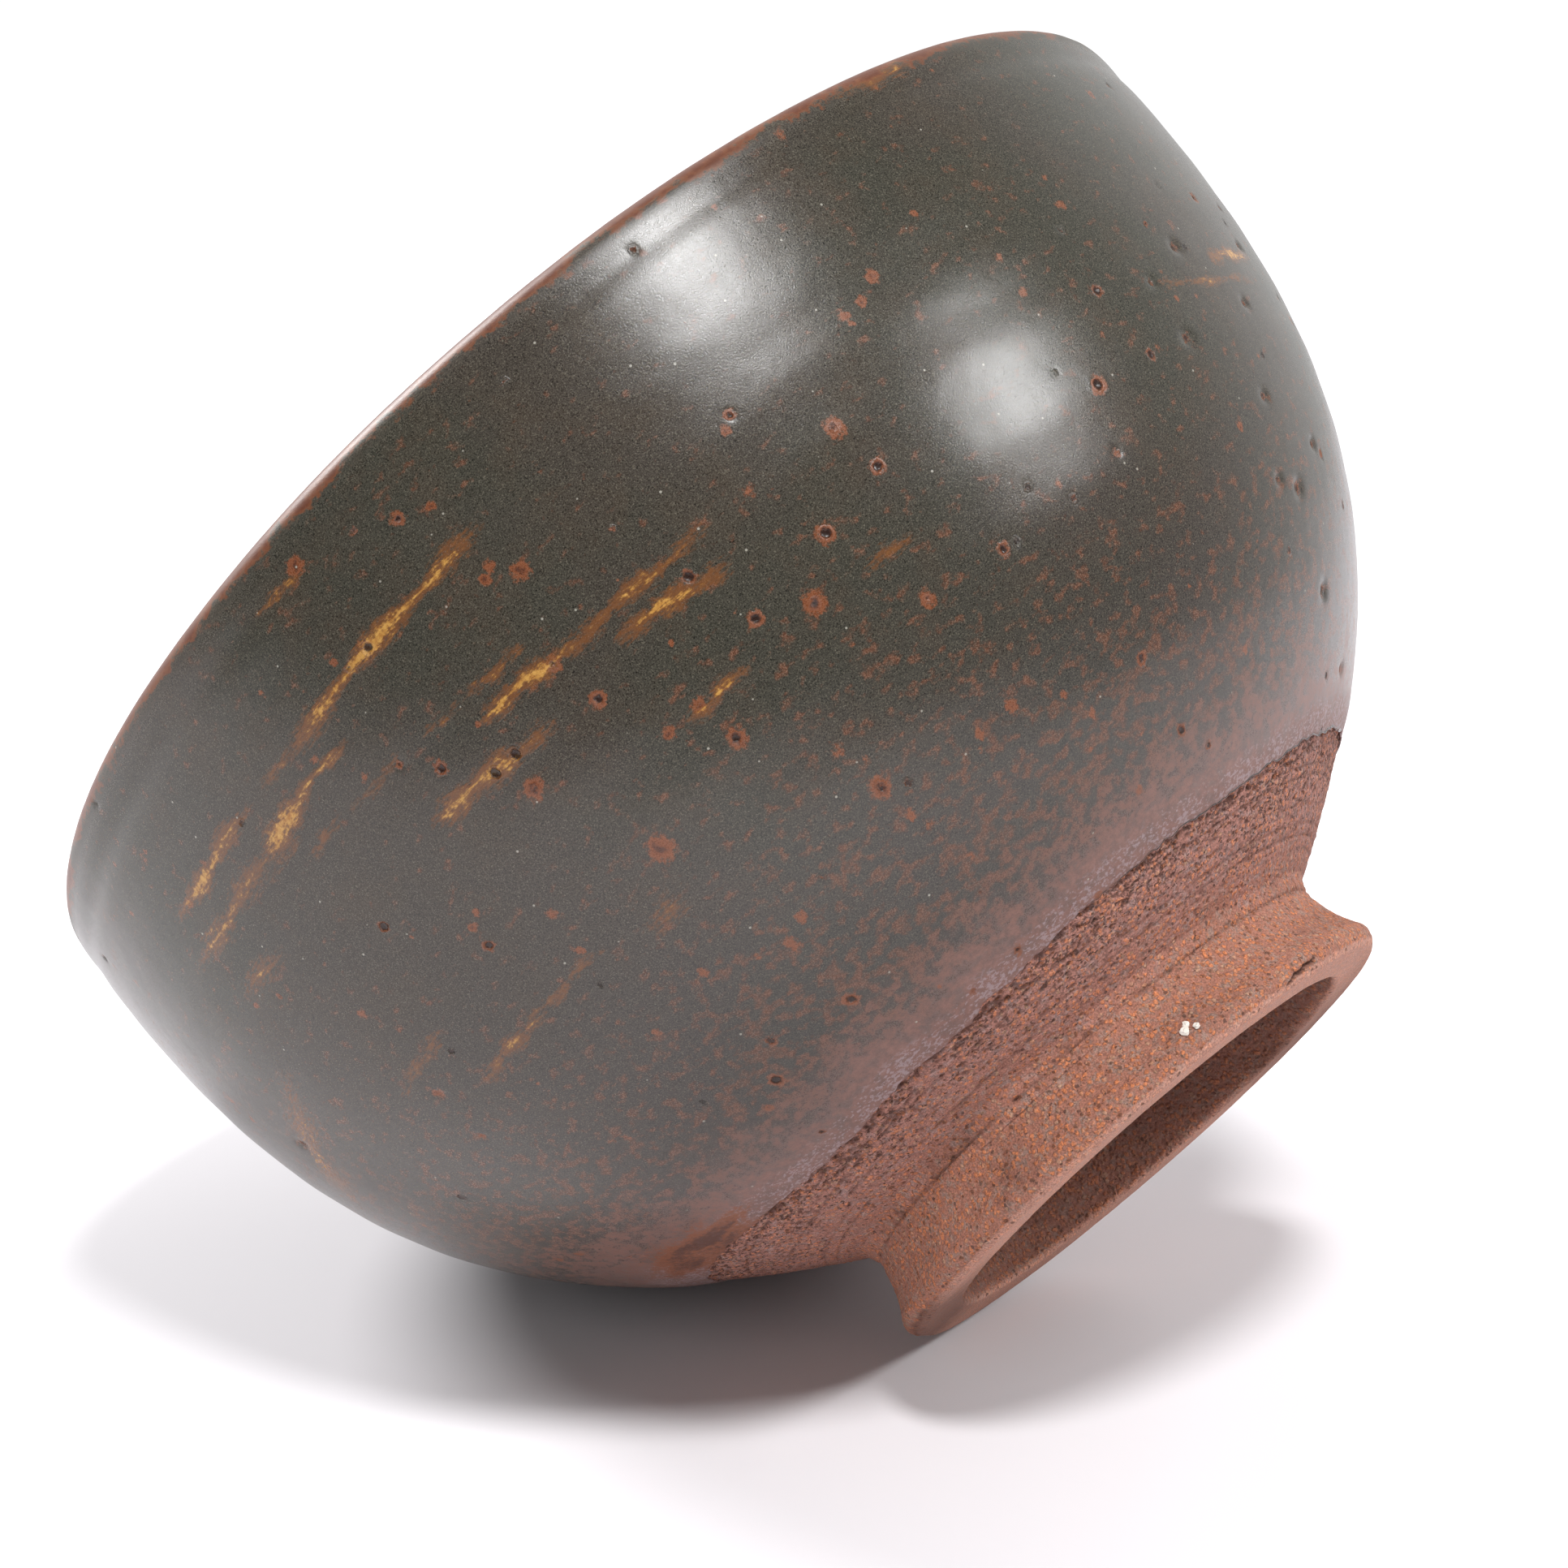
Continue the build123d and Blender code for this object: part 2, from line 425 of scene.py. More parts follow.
def fired_clay_group():
    """Coarse stoneware: warmer and sandier towards the foot, smooth where worn, with painted shade: darker
    inside the foot ring, and near black in its pits, scores, tears and the gaps between crumbs.
    """
    group, given, made = shader_group("fired_clay", (
        ("Where", "Vector", None), ("Grog Amount", "Float", 0.5), ("Crumble", "Float", 0.5),
        ("Sunk Shade", "Float", 0.0), ("Hollow Shade", "Float", 0.0), ("Worn", "Float", 0.0)),
        (("Colour", "Color"), ("Roughness", "Float"), ("Height", "Float")))
    where = given["Where"]
    level = wire(group, "SeparateXYZ", {"Vector": where}).outputs["Z"]
    drift = cloudy(group, where, 6 * mm, 3.0)
    level = swayed(group, level, drift, 8 * mm)
    warm = eased(group, level, 11.0 * mm, 6.5 * mm)
    worn = given["Worn"]
    near_line = eased(group, level, 8.5 * mm, 14.0 * mm, 0.2, 1.0)
    fine = cloudy(group, where, 0.15 * mm, 2.0, 0.6)
    ash = cloudy(group, where, 0.8 * mm, 4.0, 0.65)
    stir = wire(group, "TexNoise", {"Vector": where, "Scale": 1 / (0.4 * mm), "Detail": 2.0})
    stir_reach = (0.34 * mm, 0.34 * mm, 0.34 * mm)
    stirred = wire(group, "VectorMath", {0: stir.outputs["Color"], 1: stir_reach, 2: where},
                   operation="MULTIPLY_ADD").outputs["Vector"]
    crumbs = wire(group, "TexVoronoi", {"Vector": stirred, "Scale": 1 / (0.42 * mm)}).outputs
    lots = wire(group, "SeparateColor", {"Color": crumbs["Color"]}).outputs
    matrix = tinted(group, warm, (0.345, 0.164, 0.130), (0.318, 0.140, 0.098))
    ash_tone = tinted(group, warm, (0.320, 0.202, 0.182), (0.285, 0.180, 0.146))
    grog_tone = tinted(group, warm, (0.560, 0.205, 0.100), (0.560, 0.192, 0.080))
    grog_tone = tinted(group, eased(group, lots["Green"], 0.60, 1.0), grog_tone, (0.430, 0.255, 0.170))
    body = tinted(group, eased(group, ash, 0.46, 0.64), matrix, ash_tone)
    over = figured(group, "MULTIPLY_ADD", given["Grog Amount"], -0.62, 0.94)
    over = swayed(group, over, drift, -1.6)
    over = swayed(group, over, ash, -1.0)
    grog = times(group, eased(group, figured(group, "SUBTRACT", lots["Red"], over), -0.05, 0.08),
                   eased(group, crumbs["Distance"], 0.62, 0.34))
    broken = cloudy(group, where, 0.7 * mm, 3.0, 0.65)
    grog = times(group, grog, eased(group, broken, 0.32, 0.50, 0.15, 1.0))
    grit = times(group, eased(group, lots["Blue"], 0.80, 0.88),
                   eased(group, crumbs["Distance"], 0.50, 0.30))
    body = tinted(group, times(group, grog, 0.85), body, grog_tone)
    body = tinted(group, times(group, worn, 0.60), body, (0.560, 0.310, 0.240))
    shade = eased(group, fine, 0.25, 0.75, 0.62, 1.40)
    shade = wire(group, "CombineColor", {"Red": shade, "Green": shade, "Blue": shade}).outputs["Color"]
    body = tinted(group, 1.0, body, shade, "MULTIPLY")
    # Painted shade: the clay is coloured darker inside the foot ring
    body = tinted(group, times(group, given["Hollow Shade"], 0.50), body, (0.110, 0.048, 0.038))
    body = tinted(group, times(group, grit, 0.78), body, (0.085, 0.042, 0.034))
    tear = cloudy(group, where, 0.55 * mm, 3.0, 0.6, stretch=(1, 1, 2.2))
    crumble = times(group, given["Crumble"], near_line)
    tear = eased(group, figured(group, "MULTIPLY_ADD", crumble, -0.11, tear), 0.332, 0.300)
    tear = times(group, tear, figured(group, "SUBTRACT", 1.0, worn))
    gap = times(group, eased(group, crumbs["Distance"], 0.56, 0.74), eased(group, broken, 0.62, 0.44))
    gap = times(group, gap, crumble)
    # Painted shade: near black where the clay is sunk (pits, scores, the crack), in the tears and in the gaps
    # between crumbs
    dark = figured(group, "MAXIMUM", times(group, given["Sunk Shade"], 0.68),
                   times(group, figured(group, "MAXIMUM", tear, gap), 0.85))
    body = tinted(group, dark, body, (0.065, 0.027, 0.019))
    rough = eased(group, fine, 0.3, 0.7, 0.78, 0.95)
    height = figured(group, "MULTIPLY_ADD", grog, 0.8, times(group, fine, 0.5))
    height = figured(group, "MULTIPLY_ADD", tear, -0.8, height)
    height = figured(group, "MULTIPLY_ADD", crumbs["Distance"], -0.9, height)
    height = times(group, height, figured(group, "MULTIPLY_ADD", worn, -0.6, 1.0))
    group.links.new(body, made["Colour"])
    group.links.new(rough, made["Roughness"])
    group.links.new(height, made["Height"])
    return group


fired_clay = fired_clay_group()


def new_material(name):
    material = bpy.data.materials.new(name)
    material.use_nodes = True
    tree = material.node_tree
    tree.nodes.clear()
    surface = tree.nodes.new("ShaderNodeBsdfPrincipled")
    tree.links.new(surface.outputs[0], tree.nodes.new("ShaderNodeOutputMaterial").inputs["Surface"])
    return material, tree, surface


def stoneware(name, grog_amount, crumble):
    """Bare fired clay that reads from the notes on its mesh where it is pitted, where it is worn and where it
    lies inside the foot; the pitted places and the inside of the foot get painted shade.
    """
    material, tree, surface = new_material(name)
    clay = tree.nodes.new("ShaderNodeGroup")
    clay.node_tree = fired_clay
    tree.links.new(tree.nodes.new("ShaderNodeTexCoord").outputs["Object"], clay.inputs["Where"])
    for note, socket in (("sunk", "Sunk Shade"), ("hollow", "Hollow Shade"), ("worn", "Worn")):
        read = wire(tree, "Attribute", attribute_name=note).outputs["Fac"]
        tree.links.new(read, clay.inputs[socket])
    clay.inputs["Grog Amount"].default_value = grog_amount
    clay.inputs["Crumble"].default_value = crumble
    bump = wire(tree, "Bump", {"Height": clay.outputs["Height"], "Strength": 0.9, "Distance": 0.12 * mm})
    tree.links.new(clay.outputs["Colour"], surface.inputs["Base Color"])
    tree.links.new(clay.outputs["Roughness"], surface.inputs["Roughness"])
    tree.links.new(bump.outputs["Normal"], surface.inputs["Normal"])
    surface.inputs["Specular IOR Level"].default_value = 0.3
    return material


body_clay = stoneware("body_stoneware", grog_amount=0.8, crumble=0.9)
thrown_body = placed("thrown_body_clay", body_mesh, body_clay)
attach(thrown_body, "root")
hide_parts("thrown_body")

# ------------------------------------------------------------------ The foot ring
# A ring of the same clay, thrown on its own and luted to the trimmed body. Its outside flares to a
# rounded edge, the sole is worn smooth, and a drying crack runs across the edge at one place.

foot_low, foot_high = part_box("foot_ring")
foot_radius = foot_high.x
ring_top = foot_high.z
ring_top_radius = 24.6 * mm
foot_edge_round = 1.4 * mm
foot_flare_angle = 33.0
foot_wall = 5.2 * mm
well_draft = 1.4 * mm
well_edge_round = 0.5 * mm
ridge_angle = -42.0
ridge_round = 0.35 * mm
foot_columns = 1080
foot_spacing = 0.17 * mm
foot_grit_count = 1100
grain_bearing = 98.0
grain_height = 2.5 * mm
crack_start = (121.0, 0.35 * mm)
crack_end = (132.0, 0.95 * mm)


def tangent_arc(start, direction, end):
    """Arc that leaves the start in a direction and ends at the end."""
    side = np.array((-direction[1], direction[0]))
    chord = end - start
    radius = chord @ chord / (2 * (chord @ side))
    middle = start + side * radius
    first = math.degrees(math.atan2(*(start - middle)[::-1]))
    last = math.degrees(math.atan2(*(end - middle)[::-1]))
    last += 360 * round((first - last) / 360)
    return arc(middle, abs(radius), first, last)


edge_middle = np.array((foot_radius - foot_edge_round, foot_edge_round))
flare_end = edge_middle + slope(foot_flare_angle) * foot_edge_round
well_radius = foot_radius - foot_wall
well_ceiling_radius = well_radius - well_draft
ring_corner = np.array((ring_top_radius, ring_top))
flare = tangent_arc(flare_end, slope(foot_flare_angle + 90), ring_corner)[::-1]
edge_round = arc(edge_middle, foot_edge_round, foot_flare_angle, ridge_angle)
ridge = edge_round[-1]
bevel_foot = np.array((edge_middle[0] + 0.5 * mm, 0))
bevel_fall = (bevel_foot - ridge) / np.linalg.norm(bevel_foot - ridge)
before_sole = bevel_foot - bevel_fall * ridge_round
after_sole = bevel_foot - (ridge_round, 0)
edge = joined(evenly(edge_round, foot_spacing), evenly(np.array([ridge, before_sole]), foot_spacing),
              evenly(sweep(before_sole, bevel_foot, bevel_foot, after_sole), foot_spacing))
inner_edge_middle = np.array((well_radius - 0.03 * mm + well_edge_round, well_edge_round))
inner_edge = arc(inner_edge_middle, well_edge_round, -90, -190)
foot_outline = joined(
    evenly(flare, foot_spacing), evenly(edge, foot_spacing),
    evenly(np.array([edge[-1], inner_edge[0]]), foot_spacing), evenly(inner_edge, foot_spacing),
    evenly(np.array([inner_edge[-1], (well_ceiling_radius, ring_top)]), foot_spacing),
    evenly(np.array([(well_ceiling_radius, ring_top), ring_corner]), 0.5 * mm))[:-1]
foot_way = way_along(foot_outline)
foot_turn = bearings(foot_columns)[None, :]
outer_rows = len(evenly(flare, foot_spacing)) + len(evenly(edge, foot_spacing))
foot_height_row = foot_outline[:outer_rows, 1]

draw = np.random.default_rng(31)
foot_radius_grid, foot_height_grid = spun(foot_outline, foot_columns)
visible = smooth_step(ring_top - foot_height_grid, 0.0, 1.2 * mm)
ridge_row = np.argmin(np.abs(foot_outline - ridge).sum(axis=1))
past_ridge = foot_way - foot_way[ridge_row]
rubbed = smooth_step(past_ridge, -0.15 * mm, 0.15 * mm)
rubbed *= smooth_step(foot_wall - past_ridge, -0.4 * mm, 0.4 * mm)
worn = 1 - 0.75 * rubbed[:, None]
foot_skin = 0.045 * mm * patches(draw, foot_way, foot_columns, 0.42 * mm, 380)
foot_skin += 0.040 * mm * patches(draw, foot_way, foot_columns, 0.8 * mm, 190)
foot_skin += 0.10 * mm * patches(draw, foot_way, foot_columns, 4 * mm, 26)
scattered(foot_skin, draw, foot_grit_count, foot_way, foot_outline[:, 0], (0, foot_way[-1]),
          (0.10, 0.30), (0.09, 0.2), (-0.07, 0.13))
foot_skin *= visible * worn
crack = np.zeros(foot_skin.shape)
for step in np.linspace(0, 1, 60):
    bearing = math.radians(crack_start[0] + (crack_end[0] - crack_start[0]) * step)
    height = crack_start[1] + (crack_end[1] - crack_start[1]) * step ** 0.8
    place = np.interp(-height, -foot_height_row, foot_way[:outer_rows]) + 0.10 * mm * math.sin(19 * step)
    pressed(crack, foot_way, foot_outline[:, 0], bearing, place, 0.18 * mm, 0.13 * mm,
            0.23 * mm * math.sin(math.pi * min(1, step * 1.1 + 0.02)) ** 0.5)
foot_skin += np.maximum(crack, -0.4 * mm)
sway = 0.16 * mm * (np.sin(2 * foot_turn + 1.1) + 0.6 * np.sin(3 * foot_turn + 2.0)) * visible
foot_skin += sway * smooth_step(foot_height_grid, 0.2 * mm, 1.5 * mm)
foot_r, foot_z = raised(foot_radius_grid, foot_height_grid, foot_skin, ring=True)
foot_z = np.maximum(foot_z, foot_low.z)
foot_mesh = turned("foot_ring", foot_r, foot_z, ring=True)
# Painted shade: how deep the dents and the crack are pressed in, which the material colours darker
sunk = np.clip(-(foot_skin - sway) / (0.2 * mm), 0, 1) ** 1.5 + 1.3 * np.clip(-crack / (0.15 * mm), 0, 1)
noted(foot_mesh, "sunk", np.clip(sunk, 0, 1.3), ring=True)
nibble = 0.5 + 0.5 * patches(draw, foot_way, foot_columns, 0.5 * mm, 200)
noted(foot_mesh, "worn", rubbed[:, None] * (0.75 + 0.25 * nibble), ring=True)
# Painted shade: the inside of the foot's well, which its material colours darker
well_shade = smooth_step(well_radius + 0.3 * mm - foot_radius_grid, 0, 0.3 * mm)
noted(foot_mesh, "hollow", well_shade * smooth_step(foot_height_grid, 0.2 * mm, 1.2 * mm), ring=True)

foot_clay = stoneware("foot_stoneware", grog_amount=1.1, crumble=0.45)
foot_ring = placed("foot_ring_clay", foot_mesh, foot_clay)
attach(foot_ring, "root")
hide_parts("foot_ring")

# ------------------------------------------------------------------ The foot's slip
# Thin layer of the same clay, mixed with water, that joins the ring to the body. What squeezed out
# was smoothed into the corner round the neck with a wet finger.

slip_bead_rise = 1.9 * mm
slip_bead_fall = 1.0 * mm
slip_pull = 0.7 * mm
slip_columns = 1080
slip_embed = 0.06 * mm
slip_tear_count = 420
slip_spacing = 0.16 * mm

neck_way = way_along(outer_wall)
bead_top = np.array([np.interp(neck_way[-1] - slip_bead_rise, neck_way, outer_wall[:, k]) for k in (0, 1)])
bead_top = bead_top + slope(knuckle_angle + 90) * slip_embed
flare_way = way_along(flare)
bead_foot = np.array([np.interp(slip_bead_fall, flare_way, flare[:, k]) for k in (0, 1)])
bead_foot = bead_foot - (slip_embed, 0)
down_the_flare = (flare[1] - flare[0]) / np.linalg.norm(flare[1] - flare[0])
bead_face = sweep(bead_top, bead_top - slope(knuckle_angle) * slip_pull,
                  bead_foot - down_the_flare * slip_pull, bead_foot)
bead_back = neck + slope(knuckle_angle + 90) * slip_embed
slip_outline = joined(
    evenly(bead_face, slip_spacing),
    evenly(np.array([bead_foot, bead_foot - (0.5 * mm, 0)]), 0.25 * mm),
    evenly(np.array([bead_foot - (0.5 * mm, 0), ring_corner - (0.6 * mm, 0)]), 0.3 * mm),
    evenly(np.array([ring_corner - (0.6 * mm, 0), (well_ceiling_radius - 0.1 * mm, ring_top)]), 0.5 * mm),
    evenly(np.array([(well_ceiling_radius - 0.1 * mm, ring_top),
                     (well_ceiling_radius, seat_height + slip_embed)]), 0.15 * mm),
    evenly(np.array([(well_ceiling_radius, seat_height + slip_embed), bead_back]), 0.5 * mm),
    evenly(np.array([bead_back, bead_top]), 0.3 * mm))[:-1]
slip_way = way_along(slip_outline)
slip_radius, slip_height = spun(slip_outline, slip_columns)
draw = np.random.default_rng(47)
face_rows = len(evenly(bead_face, slip_spacing))
slip_skin = np.zeros(slip_radius.shape)
face_way = slip_way[:face_rows]
face_skin = 0.10 * mm * patches(draw, face_way, slip_columns, 3 * mm, 40)
face_skin += 0.05 * mm * patches(draw, face_way, slip_columns, 0.5 * mm, 240)
face_skin += 0.03 * mm * patches(draw, face_way, slip_columns, 0.35 * mm, 500)
scattered(face_skin, draw, slip_tear_count, face_way, slip_outline[:face_rows, 0], (0, face_way[-1]),
          (0.12, 0.4), (0.08, 0.18), (0.03, 0.14))
tool_place = 0.66 * face_way[-1] + 0.14 * mm * patches(draw, np.zeros(1), slip_columns, 1.0, 24)[0]
face_skin -= 0.15 * mm * np.exp(-((face_way[:, None] - tool_place[None, :]) / (0.17 * mm)) ** 2)
slip_fade = smooth_step(face_way, 0, 0.6 * mm) * smooth_step(face_way[-1] - face_way, 0, 0.6 * mm)
slip_skin[:face_rows] = face_skin * slip_fade[:, None]
slip_mesh = turned("foot_slip", *raised(slip_radius, slip_height, slip_skin, ring=True), ring=True)
# Painted shade: the slip's dents and tool groove are darkened by their depth, and its part inside the foot's
# well is darkened
noted(slip_mesh, "sunk", np.clip(-slip_skin / (0.2 * mm), 0, 1), ring=True)
noted(slip_mesh, "hollow", (slip_radius < well_radius).astype(float), ring=True)

slip_clay = stoneware("clay_slip", grog_amount=0.85, crumble=0.5)
foot_slip = placed("foot_slip_clay", slip_mesh, slip_clay)
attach(foot_slip, "root")
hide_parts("foot_slip")

# ------------------------------------------------------------------ The outside glaze
# Tenmoku, an iron glaze that the bowl was dipped in, foot upwards. It broke to rust where it is
# thin, at the lip and down towards the glaze line, and iron specks in the clay bled through it.

outer_coat = 0.4 * mm
lip_thinning = 0.16 * mm
bled_speck_count = 420
inside_lap = 6.0 * mm
glaze_columns = 1320
glaze_spacing = 0.32 * mm
fine_edge_spacing = 0.12 * mm
joint_height = clay_height - inside_lap
thin_run_bearing = 5.0
thin_run_half_turn = 24.0
burnt_bearing = 14.0
burnt_above_line = 2.0 * mm
burnt_half_round = 4.8 * mm
burnt_half_along = 2.2 * mm
pit_half_width = 0.34 * mm
pit_rim_half_width = 0.8 * mm
pit_rim_rise = 0.05 * mm

# Ochre streaks where ash flecks ran as the glaze set: bearing and height at both ends, half width of
# the core, and strength; a weak one has no yellow core
streaks = (
    (71.5, 63.1, 50.5, 62.0, 0.40, 1.0), (51.2, 62.2, 45.5, 61.7, 0.24, 0.55),
    (54.0, 59.2, 44.5, 59.0, 0.24, 0.85), (47.4, 59.0, 42.0, 58.3, 0.46, 1.0),
    (43.0, 58.3, 26.0, 58.4, 0.50, 0.70), (43.2, 61.9, 29.3, 61.9, 0.40, 0.92),
    (84.2, 51.6, 71.0, 51.5, 0.34, 0.80), (72.0, 51.7, 63.2, 52.4, 0.38, 0.95),
    (84.0, 48.4, 75.4, 49.7, 0.34, 0.95), (80.6, 41.9, 74.4, 41.6, 0.28, 0.75),
    (65.6, 48.5, 54.8, 49.8, 0.42, 0.95), (55.8, 35.1, 46.2, 35.5, 0.22, 0.60),
    (46.6, 35.3, 37.2, 35.4, 0.26, 0.80), (69.0, 54.1, 64.3, 54.4, 0.22, 0.75),
    (63.0, 54.4, 59.4, 54.7, 0.20, 0.50), (56.4, 55.0, 50.6, 55.1, 0.22, 0.50),
    (48.6, 55.6, 45.0, 55.3, 0.24, 0.55), (60.2, 70.9, 55.6, 71.3, 0.20, 0.65),
    (39.4, 39.8, 30.4, 39.2, 0.36, 0.50), (63.4, 34.3, 60.4, 33.4, 0.40, 0.50),
    (96.7, 41.7, 93.5, 41.9, 0.28, 0.62), (125.0, 74.2, 117.0, 74.3, 0.40, 0.65),
    (22.0, 48.0, 3.0, 39.5, 0.80, 0.62), (153.2, 50.2, 143.6, 49.9, 0.34, 0.92),
    (150.6, 47.5, 133.4, 48.2, 0.22, 0.66), (45.5, 57.1, 40.0, 57.0, 0.22, 0.50),
    (34.0, 53.2, 28.5, 54.0, 0.42, 0.62), (205.0, 55.0, 193.0, 54.4, 0.36, 0.90),
    (236.0, 46.0, 226.0, 46.8, 0.32, 0.80), (318.0, 58.5, 303.0, 58.0, 0.40, 1.0),
    (300.0, 41.0, 291.0, 41.4, 0.28, 0.70), (347.0, 62.0, 336.0, 61.4, 0.26, 0.75),
    (262.0, 61.0, 253.0, 60.2, 0.24, 0.60))
# Iron spots: bearing, height, radius, and the depth of the pit left by the bubble in it
iron_spots = (
    (72.9, 58.4, 0.95, 0.0), (70.5, 59.8, 0.60, 0.0), (60.2, 71.5, 0.95, 0.0), (71.1, 66.9, 0.50, 0.0),
    (97.5, 51.5, 1.00, 0.05), (105.6, 58.4, 0.55, 0.0), (90.9, 56.4, 0.55, 0.0), (91.9, 45.7, 0.95, 0.34),
    (87.9, 42.2, 1.10, 0.10), (98.4, 47.3, 0.75, 0.30), (81.8, 49.6, 0.70, 0.38), (70.0, 51.6, 0.90, 0.08),
    (70.7, 47.4, 0.85, 0.22), (83.6, 44.1, 0.80, 0.26), (76.4, 38.6, 0.95, 0.24), (103.4, 37.2, 0.65, 0.22),
    (125.2, 50.0, 0.65, 0.30), (119.7, 43.5, 0.95, 0.40), (111.9, 27.2, 0.65, 0.20), (114.9, 22.5, 0.60, 0.20),
    (65.7, 36.8, 1.2, 0.0), (82.7, 30.8, 0.95, 0.12), (62.3, 46.0, 1.0, 0.05), (49.5, 40.8, 0.65, 0.24),
    (44.5, 47.7, 0.60, 0.30), (52.6, 23.3, 0.80, 0.26), (65.7, 23.6, 0.80, 0.20), (127.1, 43.7, 0.60, 0.28),
    (58.2, 52.1, 0.70, 0.26), (61.0, 48.9, 0.45, 0.36), (63.2, 48.8, 0.45, 0.36), (60.5, 62.7, 0.55, 0.30))
# Dents left where coarse grit was dragged by the trimming tool: bearing, height, half width, depth
dents = (
    (138.6, 51.3, 0.75, 0.34), (153.4, 51.2, 0.6, 0.28), (132.8, 43.8, 0.85, 0.26), (143.6, 31.3, 0.8, 0.34),
    (139.5, 32.2, 0.6, 0.26), (147.6, 25.1, 0.75, 0.34), (157.4, 20.6, 0.7, 0.30), (132.1, 49.0, 0.6, 0.22),
    (146.0, 45.5, 0.6, 0.28), (141.5, 37.8, 0.7, 0.25), (150.5, 34.0, 0.6, 0.30), (171.0, 44.0, 0.9, 0.35),
    (186.0, 29.0, 0.8, 0.3), (214.0, 38.0, 0.9, 0.36), (249.0, 52.0, 0.8, 0.3), (331.0, 33.0, 0.9, 0.32),
    (12.0, 45.0, 0.7, 0.26))

glaze_line_row = np.interp(bearings(glaze_columns), bearings(clay_columns), line_height)
wall_way = way_along(outer_wall)
way_to_line = np.interp(-glaze_line_row, -outer_wall[:, 1], wall_way)
shortest = way_to_line.min()
fine_from = shortest - 9 * mm
row_way = np.concatenate([np.arange(0, fine_from, glaze_spacing),
                          np.arange(fine_from, shortest - 1.2 * mm, 0.22 * mm),
                          np.arange(shortest - 1.2 * mm, shortest, fine_edge_spacing), [shortest]])
follow = smooth_step(row_way, shortest * 0.55, shortest)[:, None]
wall_place = row_way[:, None] + follow * (way_to_line - shortest)[None, :]
wall_r = np.interp(wall_place, wall_way, outer_wall[:, 0])
wall_z = np.interp(wall_place, wall_way, outer_wall[:, 1])

glaze_turn = bearings(glaze_columns)[None, :]
joint_split = np.searchsorted(inner_wall[:, 1], joint_height - 0.8 * mm)
lap = evenly(joined(inner_wall[joint_split:], lip_crown), 0.3 * mm)
lap_rows = len(lap)
lap_r, lap_z = spun(lap, glaze_columns)
skin_r = np.concatenate([lap_r, wall_r[1:]])
skin_z = np.concatenate([lap_z, wall_z[1:]])
skin_way = np.concatenate([way_along(lap), way_along(lap)[-1] + row_way[1:]])
skin_radius = skin_r.mean(axis=1)
marks = wheel_marks(skin_r, skin_z, glaze_turn)
lip_blend = smooth_step(skin_way, way_along(lap)[-1] - 2.5 * mm, way_along(lap)[-1])[:, None]
marks *= lip_blend
below_skin_r, below_skin_z = raised(skin_r, skin_z, marks - 0.03 * mm, ring=False)

draw = np.random.default_rng(58)
above_line = np.concatenate([np.full((lap_rows, glaze_columns), 60 * mm),
                             (way_to_line[None, :] - wall_place)[1:]])
coat = outer_coat * np.sqrt(np.clip(1 - (1 - above_line / (0.55 * mm)).clip(0, 1) ** 2, 0, 1))
coat += 0.04 * mm * np.exp(-((above_line - 1.1 * mm) / (0.7 * mm)) ** 2)
coat *= 0.40 + 0.60 * smooth_step(above_line, 0.2 * mm, 3.5 * mm)
coat *= 0.55 + 0.45 * smooth_step(skin_way, 0.0, 1.4 * mm)[:, None]
lip_thin = np.exp(-((skin_way - way_along(lap)[-1] + lip_round) / (1.8 * mm)) ** 2)[:, None]
coat -= lip_thinning * lip_thin
coat += 0.009 * mm * patches(draw, skin_way, glaze_columns, 2.2 * mm, 130)
coat += 0.040 * mm * patches(draw, skin_way, glaze_columns, 11 * mm, 22)
coat += 0.005 * mm * patches(draw, skin_way, glaze_columns, 1.0 * mm, 330) * smooth_step(
    above_line, 0, 6 * mm)

rust = np.zeros(coat.shape)
# pitted: where the glaze has a pit or dent; its material colours the middle near black as painted shade
pitted = np.zeros(coat.shape)
ochre = np.zeros(coat.shape)


def way_of_height(height):
    """How far along the skin a height on the outside lies."""
    return skin_way[lap_rows - 1] + np.interp(-height, -outer_wall[:, 1], wall_way)


def bled(note, bearing, place, radius, peak=1.0):
    """Notes how close each point is to a spot: the peak in its middle, nothing at its edge."""
    cells, distance = window(skin_way, skin_radius, glaze_columns, bearing, place, radius, radius)
    if distance.size:
        note[cells] = np.maximum(note[cells], peak * (1 - distance / 2.0))


for degrees, height, radius, pit in iron_spots:
    bearing, place = math.radians(degrees), way_of_height(height * mm)
    bled(rust, bearing, place, radius * 0.85 * mm)
    if pit:
        bled(pitted, bearing, place, 0.5 * mm, 0.7 + pit)
        pressed(coat, skin_way, skin_radius, bearing, place, pit_rim_half_width, pit_rim_half_width,
                -pit_rim_rise)
        pressed(coat, skin_way, skin_radius, bearing, place, pit_half_width, pit_half_width, pit * mm)
for degrees, height, half_width, depth in dents:
    bearing, place = math.radians(degrees), way_of_height(height * mm)
    pressed(coat, skin_way, skin_radius, bearing, place, half_width * mm, half_width * 0.8 * mm, depth * mm)
    bled(rust, bearing, place, half_width * 0.8 * mm, 0.7)
    bled(pitted, bearing, place, half_width * 0.6 * mm, 0.85)
for _ in range(bled_speck_count):
    bearing = draw.uniform(0, 2 * np.pi)
    place = way_of_height(draw.uniform(17, 74) * mm)
    size = draw.uniform(0.2, 0.75) * draw.uniform(0.5, 1.0)
    bled(rust, bearing, place, size * mm, draw.uniform(0.55, 1.0))
    if draw.random() < 0.3:
        pressed(coat, skin_way, skin_radius, bearing, place, 0.30 * mm, 0.30 * mm,
                draw.uniform(0.05, 0.2) * mm)
        bled(pitted, bearing, place, 0.4 * mm, draw.uniform(0.6, 1.0))
